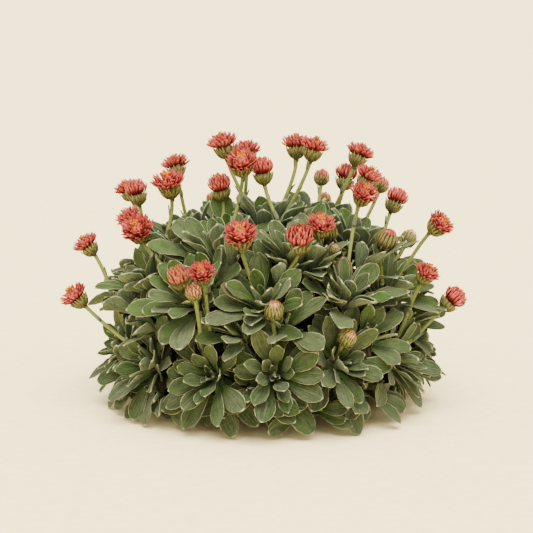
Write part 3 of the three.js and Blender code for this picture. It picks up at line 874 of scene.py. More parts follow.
class HeadForm(Enum):
    """How far a flower head is out."""

    WIDE = "wide open and flat"
    OPEN = "open"
    HALF = "half open"
    SHOWING = "bud that shows its florets"
    BUD = "closed bud"


@dataclass(frozen=True)
class Whorl:
    """A ring of alike blades round a head. Places are (radius, height) for a head of its form's width.

    The more ragged it is, the more its blades differ in turn, reach, drift, twist and size.
    """

    count: int
    foot: tuple[float, float]
    belly: tuple[float, float]
    tip: tuple[float, float]
    width: float
    thickness: float
    hollow: float
    outline: Outline
    ragged: float
    gold: float = 0.0
    stations: ClassVar[int] = 6
    thinning: ClassVar[float] = 0.45

    def grow(self, surface: Surface, origin: Array, axis: Array, scale: float, key: int,
             nature: tuple[float, float], finish: int = 0, fine: bool = True) -> None:
        """Adds the blades to a surface.

        Args:
            surface: Where they go.
            origin: Where radius and height are counted from.
            axis: The head's axis.
            scale: The head's scale.
            key: A whole number for the draws.
            nature: The second and third values of the blades' nature.
            finish: The index of their material.
            fine: Whether they have the finer section.
        """
        right = beside(axis)
        up = np.cross(axis, right)
        foot, belly = np.array(self.foot), np.array(self.belly)
        along = self.outline.stations(self.stations)
        share = along / along[-1]
        t = share[:, None]
        for i in range(self.count):
            turn = i + 0.5 * chance(key, 3) + sway(0.7 * self.ragged, key, i, 1)
            angle = 2 * math.pi * turn / self.count
            out = right * math.cos(angle) + up * math.sin(angle)
            sideways = np.cross(axis, out)
            tip = np.array(self.tip) + self.ragged * np.array([sway(1.5, key, i, 2), sway(1.7, key, i, 4)])
            flat = (1 - t) ** 2 * foot + 2 * (1 - t) * t * belly + t**2 * tip
            slope = (1 - t) * (belly - foot) + t * (tip - belly)
            drift = t**2 * sway(1.4 * self.ragged, key, i, 5) * sideways
            point = origin + scale * (flat[:, :1] * out + flat[:, 1:] * axis + drift)
            ahead = unit(slope[:, :1] * out + slope[:, 1:] * axis)
            twist = sway(0.9 * self.ragged, key, i, 6) * t
            level = np.broadcast_to(sideways, ahead.shape)
            across = level * np.cos(twist) + np.cross(ahead, level) * np.sin(twist)
            size = scale * (1 + sway(0.3 * self.ragged, key, i, 7))
            half = self.width / 2 * size * self.outline.width(along)
            thick = self.thickness * size * (1 - self.thinning * share)
            lift = (self.hollow * size * np.sin(0.85 * math.pi * share))[:, None]
            surface.blade(Track(point, ahead, across, np.cross(ahead, across)), along, half, thick, lift,
                          PETAL_SPREAD if fine else SCALE_SPREAD, (chance(key, i, 8), *nature), finish)


PETAL = Outline(foot=0.4, waist=0.0, widest=0.7, end=1.0, blunt=2.4, point=0.65)
BRACT = Outline(foot=0.7, waist=0.0, widest=0.5, end=1.0, blunt=1.9, point=0.7)


@dataclass(frozen=True)
class HeadPlan:
    """The parts of one form of head, at its own width. Only a bud's florets are part of its stem's piece."""

    width: float
    florets: tuple[Whorl, ...]
    bracts: tuple[Whorl, ...]
    core: tuple[tuple[float, float], ...]
    bud: bool = False
    rods: int = 0
    rod_spread: float = 0.0
    rod_top: float = 0.0


CUP_CORE = ((1.1, -4.0), (1.4, -2.2), (2.4, -0.9), (3.7, 0.2), (4.6, 1.6), (5.0, 3.2), (4.5, 4.4),
            (2.4, 4.6))
CUP_BRACTS = (
    Whorl(11, (1.4, -2.2), (4.0, -1.7), (5.1, 1.5), 1.6, 0.38, 0.3, BRACT, 0.5),
    Whorl(17, (1.5, -1.6), (5.1, -1.2), (6.0, 3.9), 1.65, 0.38, 0.35, BRACT, 0.5),
    Whorl(17, (1.5, -1.1), (5.1, -0.3), (6.3, 5.2), 1.5, 0.34, 0.3, BRACT, 0.65),
)
BUD_CORE = ((1.1, -4.0), (1.3, -2.0), (2.2, -0.4), (4.3, 1.6), (5.6, 4.4), (5.6, 7.6), (4.2, 10.4),
            (1.6, 12.0))
PLANS = {
    HeadForm.WIDE: HeadPlan(
        width=16,
        florets=(
            Whorl(21, (3.6, -2.4), (6.5, -2.1), (8.1, 0.5), 1.75, 0.34, 0.5, PETAL, 1.05),
            Whorl(20, (3.4, -1.6), (6.1, -0.9), (7.5, 2.0), 1.7, 0.34, 0.5, PETAL, 1.1),
            Whorl(17, (3.0, -0.8), (5.4, 0.5), (6.5, 3.1), 1.6, 0.34, 0.45, PETAL, 1.15),
            Whorl(12, (2.5, 0.0), (4.3, 1.5), (5.3, 3.6), 1.4, 0.34, 0.4, PETAL, 1.15),
            Whorl(8, (2.1, 0.8), (3.2, 2.1), (4.0, 3.6), 1.1, 0.32, 0.3, PETAL, 1.0, 0.15),
        ),
        bracts=CUP_BRACTS, core=CUP_CORE, rods=17, rod_spread=2.3, rod_top=4.4,
    ),
    HeadForm.OPEN: HeadPlan(
        width=16,
        florets=(
            Whorl(21, (3.6, -2.3), (6.7, -1.9), (8.9, 1.1), 1.85, 0.34, 0.5, PETAL, 1.0),
            Whorl(19, (3.4, -1.5), (6.3, -0.5), (8.1, 2.7), 1.8, 0.34, 0.5, PETAL, 1.05),
            Whorl(16, (3.0, -0.8), (5.6, 1.0), (6.9, 3.9), 1.7, 0.34, 0.45, PETAL, 1.05),
            Whorl(12, (2.4, 0.1), (4.3, 2.0), (5.2, 4.5), 1.5, 0.34, 0.4, PETAL, 1.05),
            Whorl(8, (1.7, 0.9), (2.9, 2.8), (3.5, 4.6), 1.1, 0.32, 0.3, PETAL, 1.0, 0.15),
        ),
        bracts=CUP_BRACTS, core=CUP_CORE, rods=13, rod_spread=1.9, rod_top=5.5,
    ),
    HeadForm.HALF: HeadPlan(
        width=13,
        florets=(
            Whorl(22, (3.8, -2.4), (7.4, -0.4), (6.6, 3.5), 1.5, 0.34, 0.45, PETAL, 0.75),
            Whorl(20, (3.4, -1.4), (6.7, 1.7), (5.6, 5.2), 1.45, 0.34, 0.45, PETAL, 0.75),
            Whorl(16, (2.8, -0.2), (5.2, 3.6), (4.3, 6.4), 1.35, 0.34, 0.4, PETAL, 0.8),
            Whorl(12, (2.0, 0.9), (3.5, 4.8), (2.8, 6.9), 1.2, 0.34, 0.35, PETAL, 0.85),
            Whorl(7, (1.1, 2.0), (1.7, 5.3), (1.2, 6.9), 0.95, 0.32, 0.3, PETAL, 0.85, 0.15),
        ),
        bracts=CUP_BRACTS, core=CUP_CORE, rods=5, rod_spread=1.5, rod_top=6.6,
    ),
    HeadForm.SHOWING: HeadPlan(
        width=14,
        florets=(
            Whorl(16, (4.2, 4.0), (7.7, 7.2), (6.1, 10.8), 1.9, 0.4, 0.5, PETAL, 0.7),
            Whorl(13, (3.2, 5.0), (6.4, 9.6), (4.6, 12.6), 1.8, 0.4, 0.5, PETAL, 0.7),
            Whorl(9, (2.0, 6.0), (3.8, 11.2), (2.5, 13.6), 1.6, 0.38, 0.4, PETAL, 0.7),
            Whorl(5, (1.0, 7.0), (1.4, 12.0), (0.9, 13.9), 1.2, 0.38, 0.3, PETAL, 0.7, 0.15),
        ),
        bracts=(
            Whorl(9, (1.3, -1.4), (5.6, -0.9), (6.7, 3.4), 1.9, 0.45, 0.35, BRACT, 0.45),
            Whorl(15, (1.5, -0.8), (8.4, 1.2), (7.0, 7.0), 2.1, 0.45, 0.35, BRACT, 0.45),
            Whorl(14, (1.5, -0.4), (8.2, 2.6), (6.6, 8.6), 1.9, 0.4, 0.3, BRACT, 0.5),
        ),
        core=BUD_CORE, bud=True,
    ),
    HeadForm.BUD: HeadPlan(
        width=14,
        florets=(
            Whorl(9, (3.6, 9.6), (4.1, 12.2), (2.4, 13.6), 1.9, 0.5, 0.4, PETAL, 0.6),
            Whorl(6, (1.8, 10.6), (2.2, 13.2), (0.9, 14.2), 1.6, 0.5, 0.3, PETAL, 0.6),
        ),
        bracts=(
            Whorl(9, (1.3, -1.4), (5.6, -0.9), (6.9, 4.2), 1.9, 0.45, 0.35, BRACT, 0.45),
            Whorl(15, (1.5, -0.8), (9.4, 2.6), (5.6, 10.8), 2.2, 0.5, 0.4, BRACT, 0.35),
            Whorl(14, (1.5, -0.4), (9.2, 4.8), (3.8, 12.9), 2.1, 0.45, 0.35, BRACT, 0.45),
        ),
        core=BUD_CORE, bud=True,
    ),
}
NECK = -7.0


@dataclass(frozen=True)
class Head:
    """A flower head: its form, middle, lean, width, the rosette that it grows from and its complexion."""

    form: HeadForm
    x: float
    y: float
    z: float
    tilt: float
    toward: float
    width: float
    rosette: int
    faded: float = 0.0

    @property
    def middle(self) -> Array:
        """The middle of the head."""
        return np.array([self.x, self.y, self.z], float)

    @property
    def axis(self) -> Array:
        """The way that the head faces."""
        return leaning(self.tilt, self.toward)

    @property
    def plan(self) -> HeadPlan:
        """The parts that its form has."""
        return PLANS[self.form]

    @property
    def scale(self) -> float:
        """Its width over the width that its form's sizes are for."""
        return self.width / self.plan.width

    @property
    def neck(self) -> Array:
        """Where its stem ends."""
        return self.middle + self.axis * NECK * self.scale


WIDE, OPEN, HALF, SHOWING, BUD = HeadForm
HEADS = (
    Head(OPEN, -105, -15, 62, 42, 190, 15, 28),
    Head(OPEN, -100, 0, 88, 36, 185, 14, 27),
    Head(OPEN, -81, 45, 113, 26, 155, 14, 14),
    Head(HALF, -74, 25, 114, 12, 170, 12, 14),
    Head(OPEN, -77, 5, 102, 36, 180, 14, 15),
    Head(OPEN, -70, -20, 99, 40, 250, 17, 16),
    Head(OPEN, -54, -5, 122.5, 18, 235, 17, 15),
    Head(OPEN, -53, 45, 127, 20, 120, 15, 13),
    Head(OPEN, -25, 10, 142.5, 14, 180, 16, 0),
    Head(WIDE, -14, -25, 136, 34, 265, 17, 6),
    Head(OPEN, -12, 25, 137, 20, 95, 15, 4),
    Head(HALF, -26, -10, 121, 16, 225, 12, 6),
    Head(WIDE, -14, -70, 104, 34, 265, 17, 7),
    Head(HALF, -3, -15, 130.5, 8, 180, 12, 1),
    Head(OPEN, 15.5, 10, 142, 10, 100, 15, 0),
    Head(OPEN, 25, -5, 142, 14, 10, 15, 0),
    Head(HALF, 44, 30, 122, 16, 45, 12, 3),
    Head(OPEN, 51.5, 25, 135.5, 26, 30, 15, 3),
    Head(OPEN, 55, 0, 125.5, 26, 0, 15, 2),
    Head(OPEN, 50.5, -30, 119.5, 34, 300, 14, 8),
    Head(HALF, 73, 35, 108, 26, 25, 12, 10),
    Head(WIDE, 92, -25, 103, 48, 330, 15, 9),
    Head(OPEN, 84, -35, 78, 32, 325, 13, 19),
    Head(HALF, 100, -20, 61, 46, 350, 12, 19),
    Head(WIDE, 27, -55, 107, 26, 280, 15, 8),
    Head(HALF, 16, -65, 101, 24, 275, 13, 7),
    Head(OPEN, -33, -80, 86, 36, 260, 13, 29),
    Head(HALF, -45, -66, 81, 30, 240, 11, 16, 0.3),
    Head(SHOWING, -32, 50, 106, 20, 110, 8, 4, 0.2),
    Head(SHOWING, 31, 50, 119, 18, 70, 9, 3, 0.1),
    Head(SHOWING, 33, 58, 105, 26, 70, 8, 11, 0.4),
    Head(SHOWING, 66, 55, 114, 30, 45, 9, 11, 0.15),
    Head(BUD, 63, -30, 95, 28, 320, 12, 9, 0.0),
    Head(BUD, 79.5, 25, 87, 28, 20, 10, 10, 0.8),
    Head(SHOWING, -37, -84, 77, 26, 250, 8, 29, 0.45),
    Head(BUD, 3, -84, 68, 30, 275, 10, 17, 0.8),
    Head(BUD, 40, -80, 53, 46, 300, 9.5, 18, 1.0),
    Head(BUD, 34, -52, 93, 20, 300, 6, 2, 0.8),
    Head(BUD, 33, -33, 99, 14, 300, 8, 2, 0.7),
)


@dataclass
class FlowerHead:
    """One head: bract cup or bud on the stem's end, and above it the florets and disc."""

    head: Head
    number: int
    core_sides: int = 16
    bud_paper: float = 0.9
    cup_paper: float = 0.8
    bud_flush: float = 0.35
    cup_flush: float = 0.12
    rod_sides: int = 5
    rod_sway: float = 1.6
    rod_foot: float = 2.4
    rod_necks: tuple[float, float] = (0.9, 0.35)
    rod_radii: tuple[float, ...] = (0.3, 0.26, 0.46, 0.24)
    rod_leans: tuple[float, ...] = (0.7, 1.0, 1.05, 1.1)
    receptacle: tuple[tuple[float, float], ...] = ((1.6, -3.6), (3.6, -2.2), (3.7, -0.4), (2.9, 1.6),
                                                   (1.3, 3.2))

    def grow_cup(self, surface: Surface, bract: int) -> None:
        """Adds the cup or bud to the surface that holds the flower stems.

        Args:
            surface: Where it goes.
            bract: The index of the bracts' material.
        """
        head, plan = self.head, self.head.plan
        self.grow_lathed(surface, plan.core, head.neck, (chance(self.number, 91), 0.0, 0.0), bract)
        paper = self.bud_paper if plan.bud else self.cup_paper
        flush = self.bud_flush * (1 - head.faded) if plan.bud else self.cup_flush
        for row, whorl in enumerate(plan.bracts):
            share = (row + 1) / len(plan.bracts)
            whorl.grow(surface, head.neck, head.axis, head.scale, 1000 + 10 * self.number + row,
                       (paper * (0.5 + 0.5 * share), flush * share), bract, fine=False)
        if plan.bud:
            self.grow_florets(surface, bract + 1, head.neck)

    def grow_lathed(self, surface: Surface, profile: Sequence[tuple[float, float]], origin: Array,
                    nature: Sequence[float], finish: int = 0) -> None:
        """Adds a round body about the head's axis.

        Args:
            surface: Where it goes.
            profile: Its radii and heights from its foot, for a head of its form's width.
            origin: Where its heights are counted from.
            nature: The nature vector of the whole body.
            finish: The index of its material.
        """
        head = self.head
        sizes = np.array(profile) * head.scale
        track = straight(origin + np.outer(sizes[:, 1], head.axis), head.axis, beside(head.axis))
        surface.pipe(track, sizes[:, 0], self.core_sides, nature, finish)

    def grow_florets(self, surface: Surface, finish: int, origin: Array) -> None:
        """Adds the florets in their whorls.

        Args:
            surface: Where they go.
            finish: The index of their material.
            origin: Where their heights are counted from.
        """
        head = self.head
        for row, whorl in enumerate(head.plan.florets):
            whorl.grow(surface, origin, head.axis, head.scale, 2000 + 10 * self.number + row,
                       (whorl.gold, head.faded), finish)

    def bloom(self, material: Material) -> None:
        """Makes the piece that stands for the head's florets.

        Args:
            material: The florets' material.
        """
        surface = Surface()
        self.grow_florets(surface, 0, self.head.middle)
        self.grow_disc(surface)
        self.grow_lathed(surface, self.receptacle, self.head.middle, (0.3, 0.0, 0.0))
        piece = surface.to_object(f"bloom_{self.number + 1:02d}", [material])
        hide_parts(f"florets_{self.number + 1:02d}")

    def grow_disc(self, surface: Surface) -> None:
        """Adds the small yellow rods in the middle of the head.

        Args:
            surface: Where they go.
        """
        head, plan = self.head, self.head.plan
        right = beside(head.axis)
        up = np.cross(head.axis, right)
        for i in range(plan.rods):
            reach = plan.rod_spread * math.sqrt((i + 0.5) / plan.rods)
            out = right * math.cos(GOLDEN_TURN * i) + up * math.sin(GOLDEN_TURN * i)
            top = plan.rod_top + sway(self.rod_sway, self.number, i, 21)
            heights = np.array([self.rod_foot, *(top - neck for neck in self.rod_necks), top])
            lean = reach * np.array(self.rod_leans)
            point = head.middle + head.scale * (np.outer(heights, head.axis) + np.outer(lean, out))
            surface.pipe(straight(point, head.axis, right), np.array(self.rod_radii) * head.scale,
                         self.rod_sides, (chance(self.number, i, 22), 1.0, head.faded * 0.5))


@dataclass(frozen=True)
class RosettePlace:
    """Where a rosette stands, and how far it opens and how large it grows there."""

    index: int
    middle: Array
    axis: Array
    side: Array
    up: Array
    foot: Array
    opening: float
    growth: float

    def outward(self, around: float) -> Array:
        """Gives the direction from the axis at an angle round it, in radians."""
        return self.side * math.cos(around) + self.up * math.sin(around)

    def green(self, young: float, *keys: int) -> float:
        """Gives how bare and green a leaf is: young ones, and those high on the dome, have the least down."""
        high = 1 - self.opening
        return min(1.0, young + 0.8 * high + (0.4 + 1.8 * high) * chance(*keys) ** 3)


@dataclass(frozen=True)
class Ring:
    """One ring of rosettes on the dome."""

    count: int
    polar: float
    turn: float
    foot_share: float = 0.0


@dataclass
class Dome:
    """The dome that the rosettes' middles lie on."""

    foot: float = 31.0
    height: float = 57.0
    radius: float = 71.0
    fullness: float = 0.82
    ring_sway: float = 8.0
    polar_sway: float = 5.0
    outward_tilt: float = 0.44
    outward_gain: float = 0.34
    upper_opening: float = 0.72
    upper_growth: float = 1.12
    stem_foot: float = 11.0
    rings: tuple[Ring, ...] = (Ring(1, 0, 0), Ring(6, 33, 20, 0.38), Ring(10, 62, 0, 0.46),
                               Ring(13, 90, 4, 0.5))
    gap_rings: tuple[Ring, ...] = (Ring(4, 18, 45), Ring(8, 48, 10), Ring(12, 76, 14), Ring(12, 100, 18),
                                   Ring(6, 36, 28))
    gap_depth: float = 0.5
    gap_leaning: float = 0.78
    branch_drop: float = 14.0

    def places(self) -> list[RosettePlace]:
        """Sets the rosettes, ring by ring from the top.

        Returns:
            Their places in the order of the frame's numbers.
        """
        places: list[RosettePlace] = []
        for ring in self.rings:
            for i in range(ring.count):
                index = len(places)
                around = -90 + ring.turn + 360 * i / ring.count + sway(self.ring_sway, index, 1)
                places.append(self.place(index, around, ring.polar + sway(self.polar_sway, index, 2),
                                         ring.foot_share))
        return places

    def place(self, index: int, around: float, polar: float, foot_share: float = 0.5,
              leaning_share: float = 1.0) -> RosettePlace:
        """Sets one rosette on the dome.

        Args:
            index: Its number.
            around: Its compass side in degrees.
            polar: Its angle from the top in degrees.
            foot_share: How far out its stem's foot is, as a share of its own reach.
            leaning_share: How much of the outward lean it has.

        Returns:
            Its place.
        """
        reach = self.radius * abs(math.sin(math.radians(polar))) ** self.fullness
        lift = math.cos(math.radians(polar))
        middle = leaning(90, around) * reach
        middle[2] = self.foot + self.height * math.copysign(abs(lift) ** self.fullness, lift)
        low = (polar / 90) ** 2
        tilt = polar * (self.outward_tilt + self.outward_gain * low)
        axis = leaning(leaning_share * tilt, around)
        side = leaning(90, around + 90)
        foot = leaning(90, around) * reach * foot_share
        foot[2] = self.stem_foot
        return RosettePlace(index, middle, axis, side, np.cross(axis, side), foot,
                            self.upper_opening + (1 - self.upper_opening) * low,
                            self.upper_growth + (1 - self.upper_growth) * low)

    def offshoots(self, mains: Sequence[RosettePlace]) -> list[RosettePlace]:
        """Sets young rosettes in the gaps between the others, on branches from the nearest one's stem.

        Args:
            mains: The places of the frame's rosettes.

        Returns:
            Their places.
        """
        places: list[RosettePlace] = []
        for ring in self.gap_rings:
            for i in range(ring.count):
                index = len(mains) + len(places)
                around = -90 + ring.turn + 360 * i / ring.count + sway(2 * self.ring_sway, index, 1)
                place = self.place(index, around, ring.polar + sway(2 * self.polar_sway, index, 2),
                                   leaning_share=self.gap_leaning)
                middle = place.middle - self.gap_depth * place.axis
                nearest = min(mains, key=lambda main: float(np.linalg.norm(main.middle - middle)))
                places.append(replace(place, middle=middle,
                                      foot=nearest.middle - self.branch_drop * nearest.axis))
        return places


SHEET_STATIONS = np.array([0.3, 0.46, 0.62, 0.78, 0.92, 1.02])
LEAF_LIFT = ((0.0, 0.38, 0.71, 1.0), (0.1, 0.5, 1.3, 0.5))
LEAF_THICKNESS = ((0.0, 0.3, 0.75, 1.04), (1.6, 1.0, 0.75, 0.5))


@dataclass(frozen=True)
class Leaf:
    """A leaf: its rib, its full width and how it differs from the others."""

    rib: Rib
    width: float
    key: tuple[int, ...]
    fresh: float
    outline: Outline = Outline()
    fold: float = 1.0
    dry: float = 0.0
    clearance: ClassVar[float] = 0.5
    wave_share: ClassVar[float] = 0.055
    crease: ClassVar[float] = 0.3

    def sheet(self) -> BVHTree:
        """Gives the leaf as a coarse sheet past its foot, for keeping others clear of it.

        Returns:
            The sheet's tree of faces.
        """
        track = self.rib.at(SHEET_STATIONS)
        half = self.width / 2 * self.outline.width(SHEET_STATIONS)
        spread = np.array([-1.0, 0.0, 1.0])
        points = (track.point[:, None] + (half[:, None] * spread)[..., None] * track.across[:, None]
                  + (self.lift(SHEET_STATIONS)[:, None] * np.abs(spread))[..., None] * track.face[:, None])
        grid = np.arange(points.shape[0] * 3).reshape(-1, 3)
        faces = np.stack([grid[:-1, :-1], grid[:-1, 1:], grid[1:, 1:], grid[1:, :-1]], axis=-1).reshape(-1, 4)
        return BVHTree.FromPolygons(points.reshape(-1, 3).tolist(), faces.tolist())

    def lift(self, along: Array) -> Array:
        """Gives how far the edges stand above the rib at places along the leaf."""
        return self.fold * np.interp(along, *LEAF_LIFT)

    def extent(self) -> tuple[Array, Array]:
        """Works out the box that holds the leaf.

        Returns:
            Its lowest and highest corners.
        """
        along = np.linspace(0, 1.04, 6)
        track = self.rib.at(along)
        reach = self.width / 2 * self.outline.width(along)[:, None] * np.abs(track.across)
        return ((track.point - reach).min(axis=0) - self.clearance,
                (track.point + reach).max(axis=0) + self.clearance)

    def grow(self, surface: Surface, finish: int, stations: int = 9) -> None:
        """Adds the blade, with a creased rib, waved edges and a soft round rim.

        Args:
            surface: Where it goes.
            finish: The index of its material.
            stations: How many rings it has.
        """
        along = self.outline.stations(stations)
        half = self.width / 2 * self.outline.width(along) * (1 + sway(0.05, *self.key, 31))
        thick = np.interp(along, *LEAF_THICKNESS) * min(1.0, 0.4 + self.width / 10)
        across = np.concatenate([LEAF_SPREAD, -LEAF_SPREAD[1:-1]])
        waves = 1.3 + 1.2 * chance(*self.key, 32)
        phase = 2 * math.pi * chance(*self.key, 33)
        wave = self.wave_share * self.width * (0.3 + chance(*self.key, 34)) * eased(along, 0.3, 0.7)
        ripple = np.sin(2 * math.pi * waves * along[:, None] + phase + 1.9 * across) * wave[:, None]
        lift = self.lift(along)[:, None] + ripple
        crease = self.crease * eased(along, 0.0, 0.3) * (1 - eased(along, 0.75, 1.04))
        track = self.rib.at(along)
        sunk = Track(track.point - crease[:, None] * track.face, track.ahead, track.across, track.face)
        nature = (chance(*self.key, 35), self.fresh, self.dry)
        surface.blade(sunk, along, half, thick, lift, LEAF_SPREAD, nature, finish)


@dataclass
class Crown:
    """The crown of a rosette, whose net of facets the leaves and flower stems of the frame grow from."""

    columns: int = 5
    rows: int = 3
    foot: float = -4.0
    step: float = 2.1
    radii: tuple[float, ...] = (2.4, 3.0, 3.0, 2.4, 1.6)

    def corner(self, place: RosettePlace, ring: int, column: int) -> Array:
        """Gives a corner of the net, which is turned by half a column from ring to ring."""
        angle = 2 * math.pi * (column + ring / 2) / self.columns
        return (place.middle + place.axis * (self.foot + self.step * ring)
                + place.outward(angle) * self.radii[ring])

    def facet(self, place: RosettePlace, row: int, column: int) -> Array:
        """Gives the middle of a facet.

        Args:
            place: The rosette's place.
            row: The facet's row, from 1 at the bottom.
            column: Its column.

        Returns:
            The mean of its four corners.
        """
        after = (column + 1) % self.columns
        corners = [self.corner(place, row, after), self.corner(place, row + 1, column),
                   self.corner(place, row, column), self.corner(place, row - 1, after)]
        return np.mean(corners, axis=0)


FRAME_MATCH = 0.06
DRY_SHARE = 0.02
DRYNESS = 0.7


@dataclass
class LeafHabit:
    """How the frame's leaves grow: from upright and short within to flat and long at the outside."""

    crown: Crown = field(default_factory=Crown)
    attempts: int = 16
    inner: tuple[float, float, float] = (18.0, 22.0, 6.0)
    outer: tuple[float, float, float] = (31.0, 80.0, 28.0)
    hanging_growth: float = 0.16
    around_sway: float = 44.0
    polar_sway: float = 30.0
    arch_sway: float = 10.0
    roll_sway: float = 30.0
    width_share: float = 0.41
    end_width: float = 0.42
    end_lift: float = 0.5
    slimness: float = 0.9
    sweep: float = 0.16

    def leaf(self, place: RosettePlace, row: int, column: int, attempt: int) -> Leaf:
        """Works out one try at a leaf of the frame.

        Args:
            place: The rosette's place.
            row: The row of the leaf's facet.
            column: Its column.
            attempt: Which try it is. Each swings the leaf a little further from its facet's own direction.

        Returns:
            The leaf.
        """
        key = (place.index, row, column, attempt)
        share = (self.crown.rows - row) / (self.crown.rows - 1)
        swing = 0.4 + 0.1 * attempt
        length, polar, arch = (one + (other - one) * share for one, other in zip(self.inner, self.outer))
        around = (2 * math.pi * (column + (row + 1) / 2) / self.crown.columns
                  + math.radians(sway(self.around_sway * swing, *key, 3)))
        turn = math.radians(arch + sway(self.arch_sway, *key, 5))
        out = place.outward(around)
        long = (place.growth * length * (1 + self.hanging_growth * max(0.0, -out[2]))
                * (1 + sway(0.24, *key, 6)) * (1 - 0.02 * attempt))
        start = math.radians(place.opening * polar + sway(self.polar_sway * swing, *key, 4)) - turn / 2
        rib = Rib(self.crown.facet(place, row, column), place.axis, out, start, turn, long,
                  math.radians(sway(self.roll_sway, *key, 7)))
        return Leaf(rib, self.width_share * long, key, place.green(0.35 * row / self.crown.rows, *key, 41),
                    Outline(point=0.55 + 0.35 * chance(*key, 42)), 0.8 + 0.7 * chance(*key, 43),
                    DRYNESS if chance(*key, 44) < DRY_SHARE else 0.0)

    def found(self, place: RosettePlace, row: int, column: int, corners: Array) -> Leaf | None:
        """Finds the try that the frame's solid has.

        Args:
            place: The rosette's place.
            row: The row of the leaf's facet.
            column: Its column.
            corners: The solid's corners.

        Returns:
            The leaf, or None where nothing grew there.
        """
        for attempt in range(self.attempts):
            leaf = self.leaf(place, row, column, attempt)
            end = leaf.rib.at(np.array([1.0]))
            tip = end.point[0] + end.face[0] * self.end_lift
            aside = end.across[0] * self.end_width * leaf.width / 2
            gaps = [np.linalg.norm(corners - spot, axis=1).min() for spot in (tip + aside, tip - aside)]
            if max(gaps) < FRAME_MATCH:
                return replace(leaf, width=leaf.width * self.slimness,
                               rib=replace(leaf.rib, sweep=sway(self.sweep, *leaf.key, 45)))
        return None


@dataclass(frozen=True)
class LeafTier:
    """Leaves that fill a rosette between those of its solid. Angles are in degrees, from the axis."""

    count: int
    polar: float
    length: float
    arch: float
    height: float
    fresh: float
    polar_sway: float
    width_share: float = 0.36
    tries: int = 9
    crowded: bool = False


TIERS = (
    LeafTier(4, 14, 11, 14, 4.4, 0.64, 20, 0.28, 1, True),
    LeafTier(4, 36, 19, 12, 3.4, 0.4, 24),
    LeafTier(6, 58, 25, 20, 2.0, 0.32, 30),
    LeafTier(7, 82, 27, 28, 0.0, 0.2, 30),
    LeafTier(9, 106, 27, 34, -2.2, 0.16, 34, tries=13),
)
YOUNG_TIERS = (
    LeafTier(3, 12, 10, 12, 4.2, 0.64, 16, 0.28, 1, True),
    LeafTier(4, 30, 20, 12, 3.2, 0.44, 24, 0.38),
    LeafTier(5, 54, 26, 20, 1.8, 0.32, 28, 0.38),
    LeafTier(6, 78, 27, 26, 0.2, 0.24, 30, 0.38),
)


@dataclass
class Thicket:
    """Every leaf that stands so far, for keeping new ones clear of them."""

    floor: float = 0.7
    sheets: list[tuple[BVHTree, Array, Array]] = field(default_factory=list)

    def block(self, piece: bpy.types.Object) -> None:
        """Adds a solid of the frame.

        Args:
            piece: The solid.
        """
        points = np.array([vertex.co for vertex in piece.data.vertices]) / MM
        tree = BVHTree.FromPolygons(points.tolist(), [list(face.vertices) for face in piece.data.polygons])
        self.sheets.append((tree, points.min(axis=0), points.max(axis=0)))

    def add(self, leaf: Leaf, crowded: bool = False) -> bool:
        """Adds a leaf if it is clear of what stands there.

        Args:
            leaf: The leaf.
            crowded: Whether it may touch others.

        Returns:
            Whether it was added.
        """
        low, high = leaf.extent()
        if low[2] < self.floor:
            return False
        sheet = leaf.sheet()
        if not crowded:
            near = (tree for tree, least, most in self.sheets if (least < high).all() and (low < most).all())
            if any(sheet.overlap(tree) for tree in near):
                return False
        self.sheets.append((sheet, low, high))
        return True


@dataclass
class FlowerStem:
    """A flower stem from its facet to the neck of its head, with small clasping leaves."""

    head: Head
    number: int
    path: Bend
    radius: float = 1.06
    frame_radius: ClassVar[float] = 1.2
    sides: int = 10
    stations: int = 26
    rib_depth: float = 0.05
    taper_stations: tuple[float, ...] = (0.0, 0.1, 0.5, 0.94, 1.0)
    tapers: tuple[float, ...] = (1.25, 1.05, 0.95, 0.98, 1.1)
    leaf_gap: float = 13.0
    last_leaf: float = 0.97
    leaf_width: float = 2.1
    leaf_outline: Outline = Outline(foot=0.75, waist=0.0, widest=0.35, end=1.0, blunt=1.6, point=0.8)

    def grow(self, surface: Surface, stem: int, leaf: int) -> None:
        """Adds the stem and its small leaves.

        Args:
            surface: Where they go.
            stem: The index of the stem's material.
            leaf: The index of the leaves' material.
        """
        shares = np.linspace(0, 1, self.stations)
        track = self.path.track(shares)
        angle = 2 * math.pi * np.arange(self.sides) / self.sides
        ribs = 1 + self.rib_depth * np.cos(5 * angle)
        taper = np.interp(shares, self.taper_stations, self.tapers)
        surface.pipe(track, self.radius * np.outer(taper, ribs), self.sides,
                     (chance(self.number, 51), 0.0, 0.0), stem)
        length = self.path.length()
        for i in range(1, int(length / self.leaf_gap) + 1):
            share = (i * self.leaf_gap + sway(4, self.number, i, 52) + 4) / length
            if share < self.last_leaf:
                self.grow_small_leaf(surface, share, i, leaf)

    def grow_small_leaf(self, surface: Surface, share: float, i: int, finish: int) -> None:
        """Adds one clasping leaf, shorter the nearer it is to the head.

        Args:
            surface: Where it goes.
            share: Its place along the stem.
            i: Its number from the stem's foot.
            finish: The index of its material.
        """
        spot = self.path.track(np.array([share - 0.01, share, min(1.0, share + 0.01)]))
        turn = GOLDEN_TURN * i + 6 * chance(self.number, 53)
        out = spot.across[1] * math.cos(turn) + spot.face[1] * math.sin(turn)
        rib = Rib(spot.point[1] + out * self.radius * 0.6, spot.ahead[1], out,
                  math.radians(8 + sway(8, self.number, i, 54)), math.radians(14),
                  (9.0 - 4.5 * share) * (1 + sway(0.3, self.number, i, 55)))
        leaf = Leaf(rib, self.leaf_width, (self.number, i, 56), 0.35, self.leaf_outline, 0.5)
        leaf.grow(surface, finish, 8)


